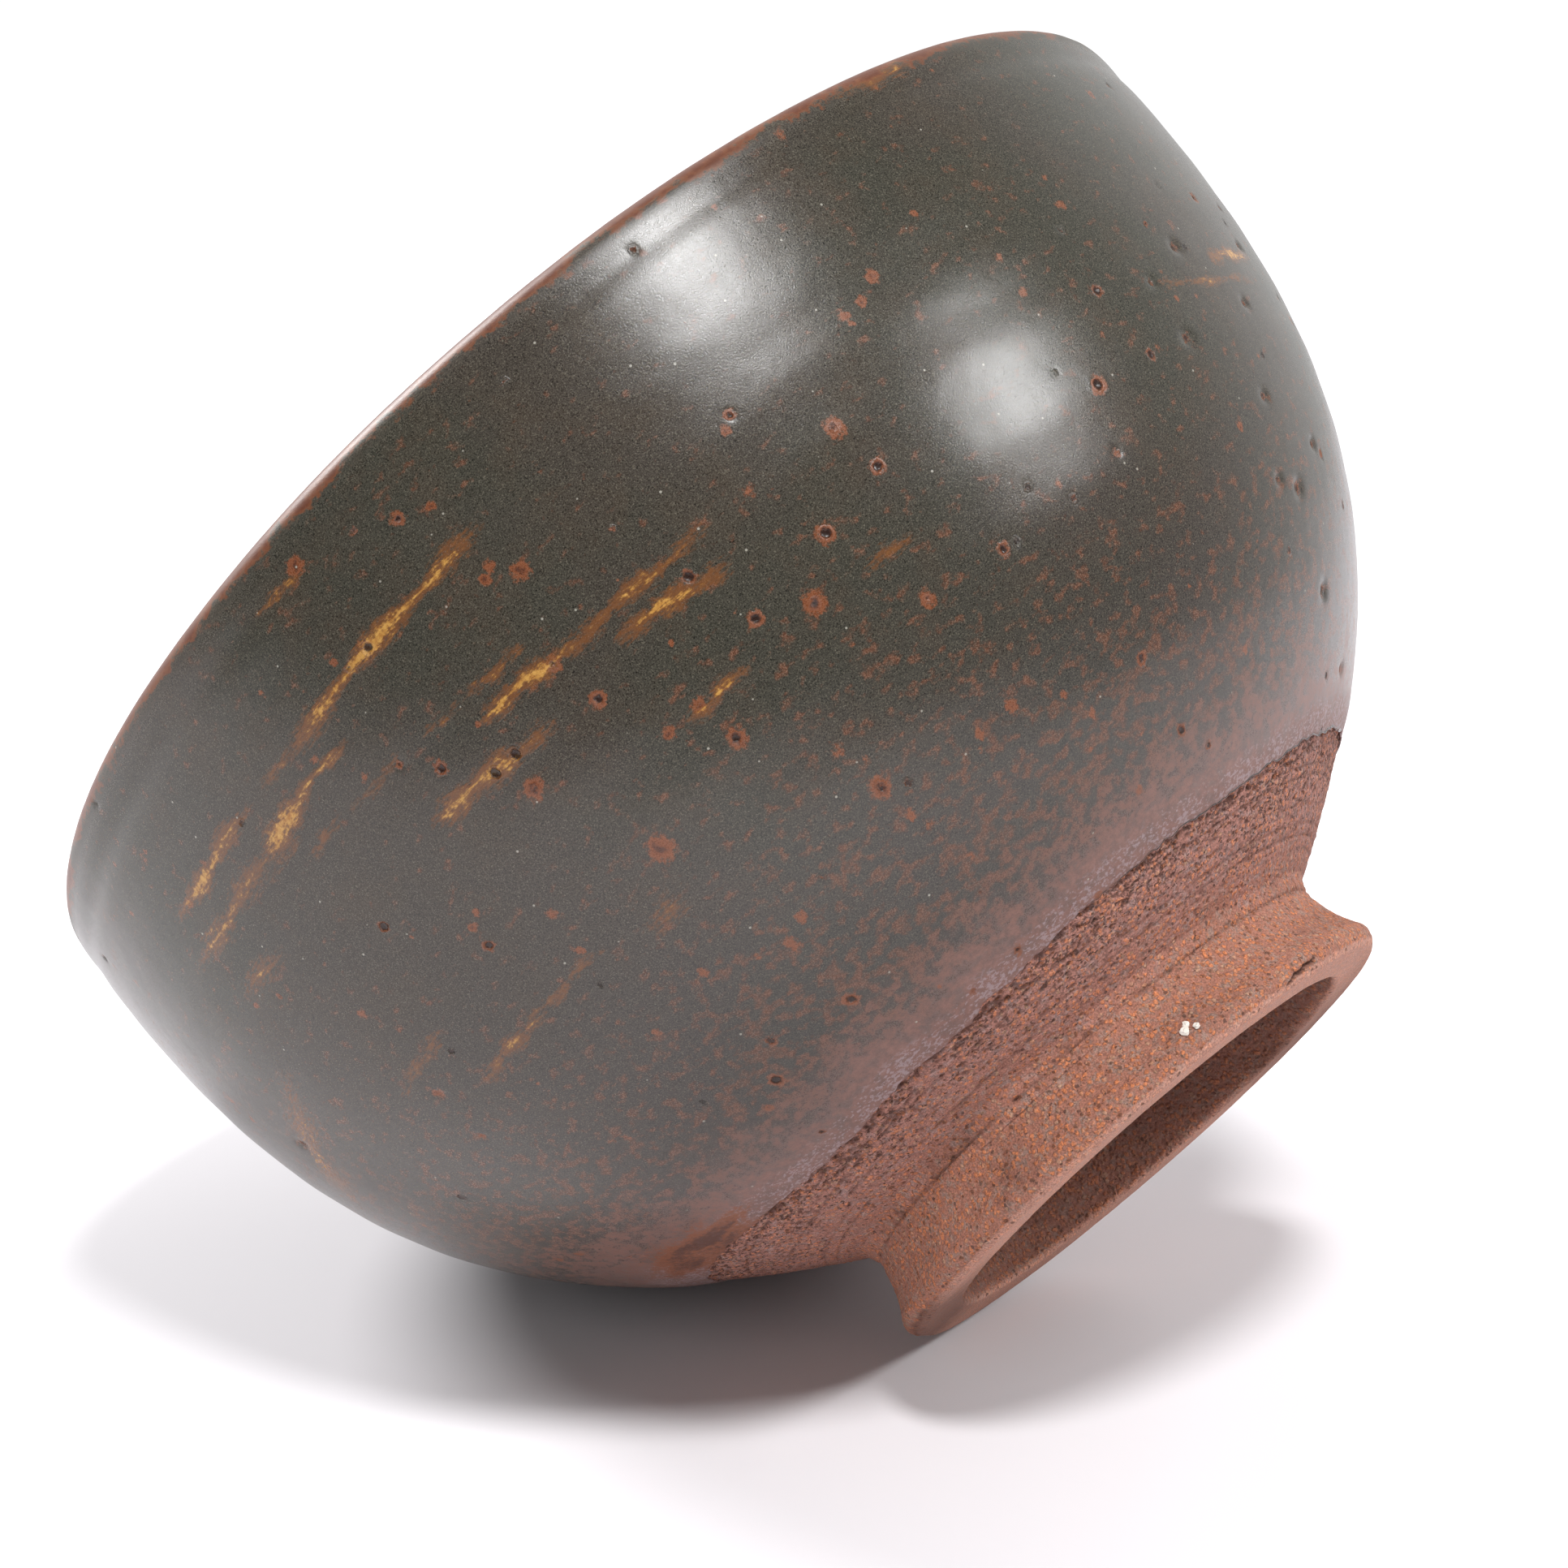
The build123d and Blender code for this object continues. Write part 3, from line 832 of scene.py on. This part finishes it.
for start, start_height, end, end_height, half_width, strength in streaks:
    for step in np.linspace(0, 1, 110):
        bearing = math.radians(start + (end - start) * step)
        height = start_height + (end_height - start_height) * step + 0.16 * math.sin(9 * step + start)
        girth = half_width * (0.75 + 0.30 * math.sin(15 * step + 3 * start)) * 1.5 * mm
        faded = strength * (0.45 + 0.55 * math.sin(math.pi * step) ** 0.6)
        cells, distance = window(skin_way, skin_radius, glaze_columns, bearing, way_of_height(height * mm),
                                 girth * 1.6, girth)
        if distance.size:
            ochre[cells] = np.maximum(ochre[cells], faded * (1 - distance / 2.6))

# Beside its line the glaze burnt red-brown in one place
cells, distance = window(skin_way, skin_radius, glaze_columns, math.radians(burnt_bearing),
                         skin_way[-1] - burnt_above_line, burnt_half_round, burnt_half_along)
runs = 0.20 * patches(draw, skin_way, glaze_columns, 0.8 * mm, 60)
rust[cells] = np.maximum(rust[cells], np.minimum(0.90, 1.30 - distance / 2.0) + runs[cells])
coat = np.maximum(coat, -0.02 * mm)
top_r, top_z = raised(skin_r, skin_z, marks + coat, ring=False)
glaze_r = np.concatenate([top_r, below_skin_r[::-4][1:]])
glaze_z = np.concatenate([top_z, below_skin_z[::-4][1:]])
outer_mesh = turned("outer_glaze", glaze_r, glaze_z, ring=True)
hidden_rows = len(glaze_r) - len(top_r)


def with_hidden_rows(values, hidden):
    """Values for the seen rows, and one value for the rows on the clay behind them."""
    return np.concatenate([values, np.full((hidden_rows, glaze_columns), hidden)])


# The dip ran thin round one bearing, so the glaze breaks to brown further from its line there
past_thin_run = (np.degrees(glaze_turn) - thin_run_bearing + 180) % 360 - 180
thinner = 1 - 0.45 * np.exp(-past_thin_run ** 2 / thin_run_half_turn ** 2)
from_lip = np.abs(skin_way - way_along(lap)[-1] + lip_round * 1.2)[:, None].repeat(glaze_columns, axis=1)
for name, values, hidden in (("rust", rust, 0), ("pitted", pitted, 0), ("ochre", ochre, 0),
                             ("above_line", above_line / mm * thinner, 60),
                             ("from_lip", from_lip / mm, 60)):
    noted(outer_mesh, name, with_hidden_rows(values, hidden), ring=True)


def iron_glaze_group():
    """Tenmoku: an olive-black glass full of fine crystals, breaking to rust where it is thin. Its colour also
    holds painted light: a bluish grey reflection of the pale table towards the glaze line, near black shade in
    the pits and pale glints.
    """
    group, given, made = shader_group("iron_glaze", (
        ("Where", "Vector", None), ("Rust", "Float", 0.0), ("Pitted", "Float", 0.0),
        ("Ochre", "Float", 0.0), ("Above Line", "Float", 60.0), ("From Lip", "Float", 60.0)),
        (("Colour", "Color"), ("Roughness", "Float"), ("Height", "Float")))
    where = given["Where"]
    crystal = cloudy(group, where, 0.115 * mm, 2.0, 0.7)
    broad = cloudy(group, where, 24 * mm, 3.0, 0.5)
    cloud = cloudy(group, where, 5 * mm, 4.0, 0.6)
    fringe = cloudy(group, where, 0.5 * mm, 4.0, 0.7)
    mottle = cloudy(group, where, 1.25 * mm, 3.0, 0.55, stretch=(1, 1, 1.5))

    glass = tinted(group, eased(group, broad, 0.40, 0.62), (0.050, 0.041, 0.033), (0.042, 0.041, 0.031))
    glass = tinted(group, eased(group, cloud, 0.42, 0.72, 0.0, 0.6), glass, (0.060, 0.044, 0.030))
    light_grain = eased(group, crystal, 0.47, 0.76)
    dark_grain = eased(group, crystal, 0.50, 0.27)
    # Towards the glaze line the glaze is thin and breaks to rust, and the glass is also tinted bluish grey
    # there as a painted reflection of the pale table
    thin_glaze_and_sheen = eased(group, given["Above Line"], 46.0, 0.0)
    # Painted reflection: bluish grey tint towards the glaze line
    glass = tinted(group, times(group, thin_glaze_and_sheen, 0.55), glass, (0.058, 0.050, 0.051))
    glass = tinted(group, light_grain, glass, (0.122, 0.108, 0.080))
    glass = tinted(group, dark_grain, glass, (0.010, 0.009, 0.007))

    level = figured(group, "MULTIPLY_ADD", thin_glaze_and_sheen, -0.158, 0.638)
    level = swayed(group, level, broad, -0.12)
    level = swayed(group, level, cloud, -0.10)
    mottled = eased(group, figured(group, "SUBTRACT", mottle, level), -0.05, 0.09)
    mottled = times(group, mottled, eased(group, fringe, 0.34, 0.60, 0.25, 1.0))
    brown = tinted(group, eased(group, crystal, 0.3, 0.7), (0.105, 0.036, 0.019), (0.215, 0.088, 0.045))
    colour = tinted(group, times(group, mottled, 0.7), glass, brown)

    edge = swayed(group, given["Above Line"], cloud, -7.0)
    edge = swayed(group, edge, mottle, -9.0)
    edge = swayed(group, edge, fringe, -5.0)
    edge = eased(group, edge, 11.5, -1.0)
    bloom = tinted(group, fringe, (0.165, 0.070, 0.054), (0.290, 0.165, 0.142))
    colour = tinted(group, times(group, edge, 0.84), colour, bloom)
    rim_of_line = eased(group, given["Above Line"], 4.6, 0.0)
    flecks = cloudy(group, where, 0.42 * mm, 3.0, 0.65, stretch=(1, 1, 2))
    chalk = figured(group, "MULTIPLY_ADD", rim_of_line, 0.09, flecks)
    chalk = swayed(group, chalk, cloud, 0.35)
    chalk = times(group, eased(group, chalk, 0.56, 0.68), eased(group, rim_of_line, 0.05, 0.5))
    colour = tinted(group, times(group, chalk, 0.55), colour, (0.370, 0.300, 0.320))

    ragged = swayed(group, given["Rust"], fringe, 1.1)
    spot = eased(group, ragged, 0.38, 0.64)
    spot_tone = tinted(group, crystal, (0.125, 0.032, 0.012), (0.300, 0.100, 0.038))
    spot_tone = tinted(group, eased(group, ragged, 0.66, 0.95, 0.0, 0.9), spot_tone, (0.060, 0.018, 0.010))
    colour = tinted(group, times(group, spot, 0.85), colour, spot_tone)

    fibre = cloudy(group, where, 1.0 * mm, 4.0, 0.65, stretch=(1, 1, 4))
    streak = swayed(group, given["Ochre"], fringe, 0.7)
    streak = swayed(group, streak, fibre, 1.3)
    halo = times(group, eased(group, streak, 0.16, 0.62), eased(group, given["Ochre"], 0.02, 0.2))
    core = swayed(group, streak, cloud, 0.8)
    gold = eased(group, core, 0.60, 0.92)
    colour = tinted(group, times(group, halo, 0.70), colour, (0.185, 0.068, 0.020))
    gold_tone = tinted(group, eased(group, fringe, 0.3, 0.7), (0.330, 0.130, 0.022), (0.600, 0.340, 0.085))
    colour = tinted(group, times(group, gold, 0.85), colour, gold_tone)

    # Painted shade: the middle of each pit and dent is coloured near black
    pitted = swayed(group, given["Pitted"], fringe, 0.4)
    pit_shade = eased(group, pitted, 0.56, 0.70)
    colour = tinted(group, times(group, pit_shade, 0.92), colour, (0.016, 0.007, 0.005))

    # Painted glints: sparse tiny pale grey dots, as where pinholes catch the light
    seeds = wire(group, "TexVoronoi", {"Vector": where, "Scale": 1 / (2.6 * mm)}).outputs
    glint_speck = eased(group, seeds["Distance"], 0.05, 0.03)
    colour = tinted(group, times(group, glint_speck, 0.7), colour, (0.420, 0.400, 0.340))

    lip_waver = swayed(group, given["From Lip"], cloud, 4.5)
    lip_waver = swayed(group, lip_waver, mottle, 2.5)
    lip_waver = swayed(group, lip_waver, fringe, 1.6)
    lip = eased(group, lip_waver, 1.75, 1.15)
    lip_tone = tinted(group, eased(group, lip_waver, 0.6, 1.9), (0.110, 0.032, 0.014),
                      (0.215, 0.076, 0.031))
    colour = tinted(group, times(group, lip, 0.92), colour, lip_tone)

    dull = figured(group, "MAXIMUM", spot, times(group, mottled, 0.6))
    rough = figured(group, "MULTIPLY_ADD", dull, 0.06, eased(group, crystal, 0.3, 0.7, 0.19, 0.275))
    rough = figured(group, "MULTIPLY_ADD", edge, 0.14, rough)
    rough = figured(group, "MULTIPLY_ADD", rim_of_line, 0.22, rough)
    rough = figured(group, "MULTIPLY_ADD", eased(group, given["From Lip"], 3.2, 0.8), 0.20, rough)
    height = figured(group, "MULTIPLY_ADD", cloudy(group, where, 1.4 * mm, 3.0, 0.5), 0.6, crystal)
    lifted_rim = times(group, eased(group, pitted, 0.30, 0.50), 3.0)
    height = figured(group, "ADD", height, lifted_rim)
    height = figured(group, "MULTIPLY_ADD", eased(group, pitted, 0.50, 0.72), -9.0, height)
    height = figured(group, "MULTIPLY_ADD", halo, 0.8, height)
    group.links.new(colour, made["Colour"])
    group.links.new(rough, made["Roughness"])
    group.links.new(height, made["Height"])
    return group


iron_glaze = iron_glaze_group()


def tenmoku(name):
    """Tenmoku that reads where it is thin, spotted, pitted or streaked from the notes on its mesh, with
    painted shade in the pits, painted glints and a painted reflection near the glaze line.
    """
    material, tree, surface = new_material(name)
    glaze = tree.nodes.new("ShaderNodeGroup")
    glaze.node_tree = iron_glaze
    tree.links.new(tree.nodes.new("ShaderNodeTexCoord").outputs["Object"], glaze.inputs["Where"])
    for note, socket in (("rust", "Rust"), ("pitted", "Pitted"), ("ochre", "Ochre"),
                         ("above_line", "Above Line"), ("from_lip", "From Lip")):
        read = wire(tree, "Attribute", attribute_name=note).outputs["Fac"]
        tree.links.new(read, glaze.inputs[socket])
    bump = wire(tree, "Bump", {"Height": glaze.outputs["Height"], "Strength": 0.75, "Distance": 0.02 * mm})
    tree.links.new(glaze.outputs["Colour"], surface.inputs["Base Color"])
    tree.links.new(glaze.outputs["Roughness"], surface.inputs["Roughness"])
    tree.links.new(bump.outputs["Normal"], surface.inputs["Normal"])
    surface.inputs["IOR"].default_value = 1.5
    return material


outer_tenmoku = tenmoku("outside_tenmoku")
outer_glaze = placed("outer_glaze_coat", outer_mesh, outer_tenmoku)
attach(outer_glaze, "root")
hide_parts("outer_glaze")

# ------------------------------------------------------------------ The inside glaze
# The same tenmoku, poured in and out before the dip. It lies thicker in a shallow pool in the middle
# of the floor, where the tea gathers.

inner_coat = 0.4 * mm
pool_radius = 15 * mm
inner_columns = 900
inner_spacing = 0.5 * mm
inside_speck_count = 260

inside_stop = np.searchsorted(inner_wall[:, 1], joint_height)
inner_line = evenly(inner_wall[:inside_stop + 1], inner_spacing)
inner_way = way_along(inner_line)
inner_turn = bearings(inner_columns)[None, :]
inner_r, inner_z = spun(inner_line, inner_columns)
ridges = inside_marks(inner_r, inner_z, inner_turn)
ridges *= smooth_step(inner_way[-1] - inner_way, 0, 4 * mm)[:, None]
draw = np.random.default_rng(73)
calm = smooth_step(inner_way, 1.0 * mm, 8.0 * mm)[:, None]
inner_skin = inner_coat + 0.05 * mm * patches(draw, inner_way, inner_columns, 9 * mm, 20) * calm
inner_skin += 0.018 * mm * patches(draw, inner_way, inner_columns, 2.2 * mm, 110) * calm
inner_skin -= 0.10 * mm * smooth_step(pool_radius - inner_r, -1.5 * mm, 1.5 * mm)
inner_skin += 0.14 * mm * np.exp(-((inner_r - pool_radius) / (1.6 * mm)) ** 2)
inner_rust = np.zeros(inner_r.shape)
# inner_pitted: pits inside, whose middles its material colours near black as painted shade
inner_pitted = np.zeros(inner_r.shape)
inner_radius = inner_line[:, 0]
for _ in range(inside_speck_count):
    bearing, place = draw.uniform(0, 2 * np.pi), draw.uniform(6 * mm, inner_way[-1])
    radius = draw.uniform(0.25, 0.8) * mm
    cells, distance = window(inner_way, inner_radius, inner_columns, bearing, place, radius, radius)
    if distance.size:
        inner_rust[cells] = np.maximum(inner_rust[cells], 1 - distance / 2)
    if draw.random() < 0.3:
        cells, distance = window(inner_way, inner_radius, inner_columns, bearing, place,
                                 0.45 * mm, 0.45 * mm)
        inner_pitted[cells] = np.maximum(inner_pitted[cells], 0.9 - distance / 2)
        pressed(inner_skin, inner_way, inner_radius, bearing, place, 0.45 * mm, 0.45 * mm,
                draw.uniform(0.08, 0.22) * mm)
inner_skin[0] = inner_skin[0].mean()
face_r, face_z = raised(inner_r, inner_z, ridges + inner_skin, ring=False)
back_r, back_z = raised(inner_r, inner_z, ridges - 0.03 * mm, ring=False)
inner_mesh = turned("inner_glaze", np.concatenate([face_r, back_r[::-1]]),
                    np.concatenate([face_z, back_z[::-1]]), ring=False)
below_lip = (inner_way[-1] - inner_way + inside_lap)[:, None].repeat(inner_columns, axis=1)
for name, values in (("rust", inner_rust), ("pitted", inner_pitted), ("ochre", np.zeros(inner_r.shape)),
                     ("above_line", np.full(inner_r.shape, 34.0)), ("from_lip", below_lip / mm)):
    noted(inner_mesh, name, np.concatenate([values, values[::-1]]), ring=False)

inner_tenmoku = tenmoku("inside_tenmoku")
inner_glaze = placed("inner_glaze_coat", inner_mesh, inner_tenmoku)
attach(inner_glaze, "root")
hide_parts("inner_glaze")

# ------------------------------------------------------------------ The feldspar grains
# Three grains of feldspar in the foot's clay that melted to white glass in the kiln. They lie close
# together in the flare, each a bead half sunk in the clay.

grain_sizes = (0.38 * mm, 0.31 * mm, 0.27 * mm)
grain_turn = 1.15
grain_lifts = (0.0, 0.36 * mm, -0.30 * mm)
grain_proud = -0.05


def melted_grain(name, middle, outward, size, seed):
    """A lumpy bead, flattened against the clay it sits in."""
    draw = np.random.default_rng(seed)
    steps, turns = 24, 40
    lean = np.linspace(0, np.pi, steps)[:, None]
    lumps = 1 + 0.44 * patches(draw, lean[:, 0], turns, 0.6, 5)
    lumps += 0.22 * patches(draw, lean[:, 0], turns, 0.3, 11)
    lumps[0], lumps[-1] = lumps[0, 0], lumps[-1, -1]  # each pole is a single point
    mesh = turned(name, size * lumps * np.sin(lean), size * 0.62 * lumps * np.cos(lean), ring=False)
    side = Vector((-outward.y, outward.x, 0)).normalized()
    facing = Matrix((side, outward.cross(side), outward)).transposed().to_4x4()
    mesh.transform(Matrix.Translation(middle) @ facing)
    return mesh


grains = []
for index, (size, lift) in enumerate(zip(grain_sizes, grain_lifts)):
    turn = math.radians(grain_bearing + index * grain_turn)
    outward = Vector((math.cos(turn), math.sin(turn), 0.45)).normalized()
    height = grain_height + lift
    radius = float(np.interp(-height, -flare[:, 1], flare[:, 0])) + grain_proud * size
    middle = Vector((radius * math.cos(turn), radius * math.sin(turn), height))
    grains.append(melted_grain("feldspar_grain_%d" % (index + 1), middle, outward, size, 80 + index))

feldspar, tree, surface = new_material("melted_feldspar")
where = tree.nodes.new("ShaderNodeTexCoord").outputs["Object"]
milky = cloudy(tree, where, 0.3 * mm, 3.0)
tree.links.new(tinted(tree, milky, (0.60, 0.52, 0.44), (0.86, 0.83, 0.78)), surface.inputs["Base Color"])
tree.links.new(eased(tree, milky, 0.3, 0.7, 0.25, 0.5), surface.inputs["Roughness"])
bump = wire(tree, "Bump", {"Height": milky, "Strength": 0.5, "Distance": 0.05 * mm})
tree.links.new(bump.outputs["Normal"], surface.inputs["Normal"])
for index, mesh in enumerate(grains):
    grain = placed("feldspar_grain_%d" % (index + 1), mesh, feldspar)
    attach(grain, "root")
    if index == 0:
        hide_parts("feldspar_grains")

# ------------------------------------------------------------------ The studio
# The bowl is seen tipped on its side, on a pale table that touches the foot's edge and the belly.
# For upright views there is a second pale floor, under the foot.

table_tilt = 50.6
table_bearing = 134.6
table_size = 1.1
white_paper = (0.775, 0.754, 0.780)


def polar(bearing, elevation, distance=1.0):
    turn, up = math.radians(bearing), math.radians(elevation)
    return Vector((math.cos(turn) * math.cos(up), math.sin(turn) * math.cos(up), math.sin(up))) * distance


def paper(name, tone):
    """White paper seen from its upper side only; from behind it lets everything through."""
    material = bpy.data.materials.new(name)
    material.use_nodes = True
    tree = material.node_tree
    tree.nodes.clear()
    sheet = wire(tree, "BsdfDiffuse", {"Color": (*tone, 1)}).outputs[0]
    clear = tree.nodes.new("ShaderNodeBsdfTransparent").outputs[0]
    behind = tree.nodes.new("ShaderNodeNewGeometry").outputs["Backfacing"]
    mix = tree.nodes.new("ShaderNodeMixShader")
    for socket, value in zip(mix.inputs, (behind, sheet, clear)):
        tree.links.new(value, socket)
    tree.links.new(mix.outputs[0], tree.nodes.new("ShaderNodeOutputMaterial").inputs["Surface"])
    return material


def flat_sheet(name, normal, offset, size, material):
    """Square sheet whose face lies on the plane normal . point = offset."""
    mesh = bpy.data.meshes.new(name)
    half = size / 2
    corners = [(-half, -half, 0), (half, -half, 0), (half, half, 0), (-half, half, 0)]
    mesh.from_pydata(corners, [], [(0, 1, 2, 3)])
    sheet = placed(name, mesh, material)
    facing = normal.to_track_quat("Z", "Y").to_matrix().to_4x4()
    sheet.matrix_world = Matrix.Translation(normal * offset) @ facing
    return sheet


def lowest(normal):
    """How far down along a normal the bowl reaches."""
    least = []
    for piece in (outer_glaze, foot_ring, thrown_body):
        points = np.zeros(len(piece.data.vertices) * 3, np.float32)
        piece.data.vertices.foreach_get("co", points)
        least.append((points.reshape(-1, 3) @ np.array(normal)).min())
    return float(min(least))


table_up = polar(table_bearing, 90 - table_tilt)
flat_sheet("tipped_table", table_up, lowest(table_up), table_size,
           paper("table_paper", white_paper))
level_floor = flat_sheet("level_floor", Vector((0, 0, 1)), -0.05 * mm, table_size,
                         paper("floor_paper", white_paper))
level_floor.visible_diffuse = False
level_floor.visible_glossy = False
level_floor.visible_shadow = False

scene = bpy.context.scene
scene.view_settings.view_transform = "Standard"
backdrop_direction = polar(260, 12)
dim_side = 0.09
backdrop_side = 0.88
world = bpy.data.worlds.new("studio")
scene.world = world
world.use_nodes = True
tree = world.node_tree
tree.nodes.clear()
seen = tree.nodes.new("ShaderNodeLightPath").outputs["Is Camera Ray"]
look = wire(tree, "VectorMath", {0: tree.nodes.new("ShaderNodeTexCoord").outputs["Generated"],
                                 1: tuple(backdrop_direction)}, operation="DOT_PRODUCT").outputs["Value"]
room = eased(tree, look, -0.15, 0.75, dim_side, backdrop_side)
strength = figured(tree, "MULTIPLY_ADD", seen, figured(tree, "SUBTRACT", 1.05, room), room)
sky = wire(tree, "Background", {"Color": (1, 1, 1, 1), "Strength": strength})
tree.links.new(sky.outputs[0], tree.nodes.new("ShaderNodeOutputWorld").inputs["Surface"])

bowl_middle = Vector((0, 0, 38 * mm))


def softbox(name, direction, distance, width, power):
    """Round softbox that faces the middle of the bowl and isn't itself seen."""
    lamp = bpy.data.lights.new(name, "AREA")
    lamp.shape = "DISK"
    lamp.size = width
    lamp.energy = power
    box = bpy.data.objects.new(name, lamp)
    scene.collection.objects.link(box)
    box.location = bowl_middle + direction.normalized() * distance
    box.rotation_mode = "QUATERNION"
    box.rotation_quaternion = direction.to_track_quat("Z", "Y")
    box.visible_camera = False
    return box


softbox("front_softbox", Vector((-0.414, 0.848, 0.331)), 1.1, 0.22, 8.7)
softbox("side_softbox", Vector((-0.830, 0.529, -0.175)), 1.1, 0.23, 5.6)
softbox("overhead_softbox", Vector((0.10, -0.05, 1.0)), 1.2, 0.5, 19.0)
softbox("window_softbox", Vector((-0.912, -0.250, 0.200)), 1.2, 0.8, 4.7).visible_glossy = False
softbox("fill_softbox", Vector((0.47, 0.87, 0.20)), 1.2, 0.9, 3.0).visible_glossy = False

# The camera looks up at the bowl's wall and foot from a little below the level of the foot, rolled
# so that the tipped table lies level.
camera_bearing = 80.0
camera_elevation = -5.74
camera_distance = 368.57 * mm
camera_aim = Vector((4.8, 7.0, 44.0)) * mm
camera_roll = -41.03
lens = bpy.data.cameras.new("camera")
lens.lens = 96.13
lens.sensor_width = 36.0
lens.clip_start = 0.01
lens.clip_end = 100.0
camera = bpy.data.objects.new("camera", lens)
scene.collection.objects.link(camera)
camera.location = polar(camera_bearing, camera_elevation, camera_distance)
camera.rotation_mode = "QUATERNION"
level_view = (camera.location - camera_aim).to_track_quat("Z", "Y")
camera.rotation_quaternion = level_view @ Matrix.Rotation(math.radians(camera_roll), 3, "Z").to_quaternion()
scene.camera = camera
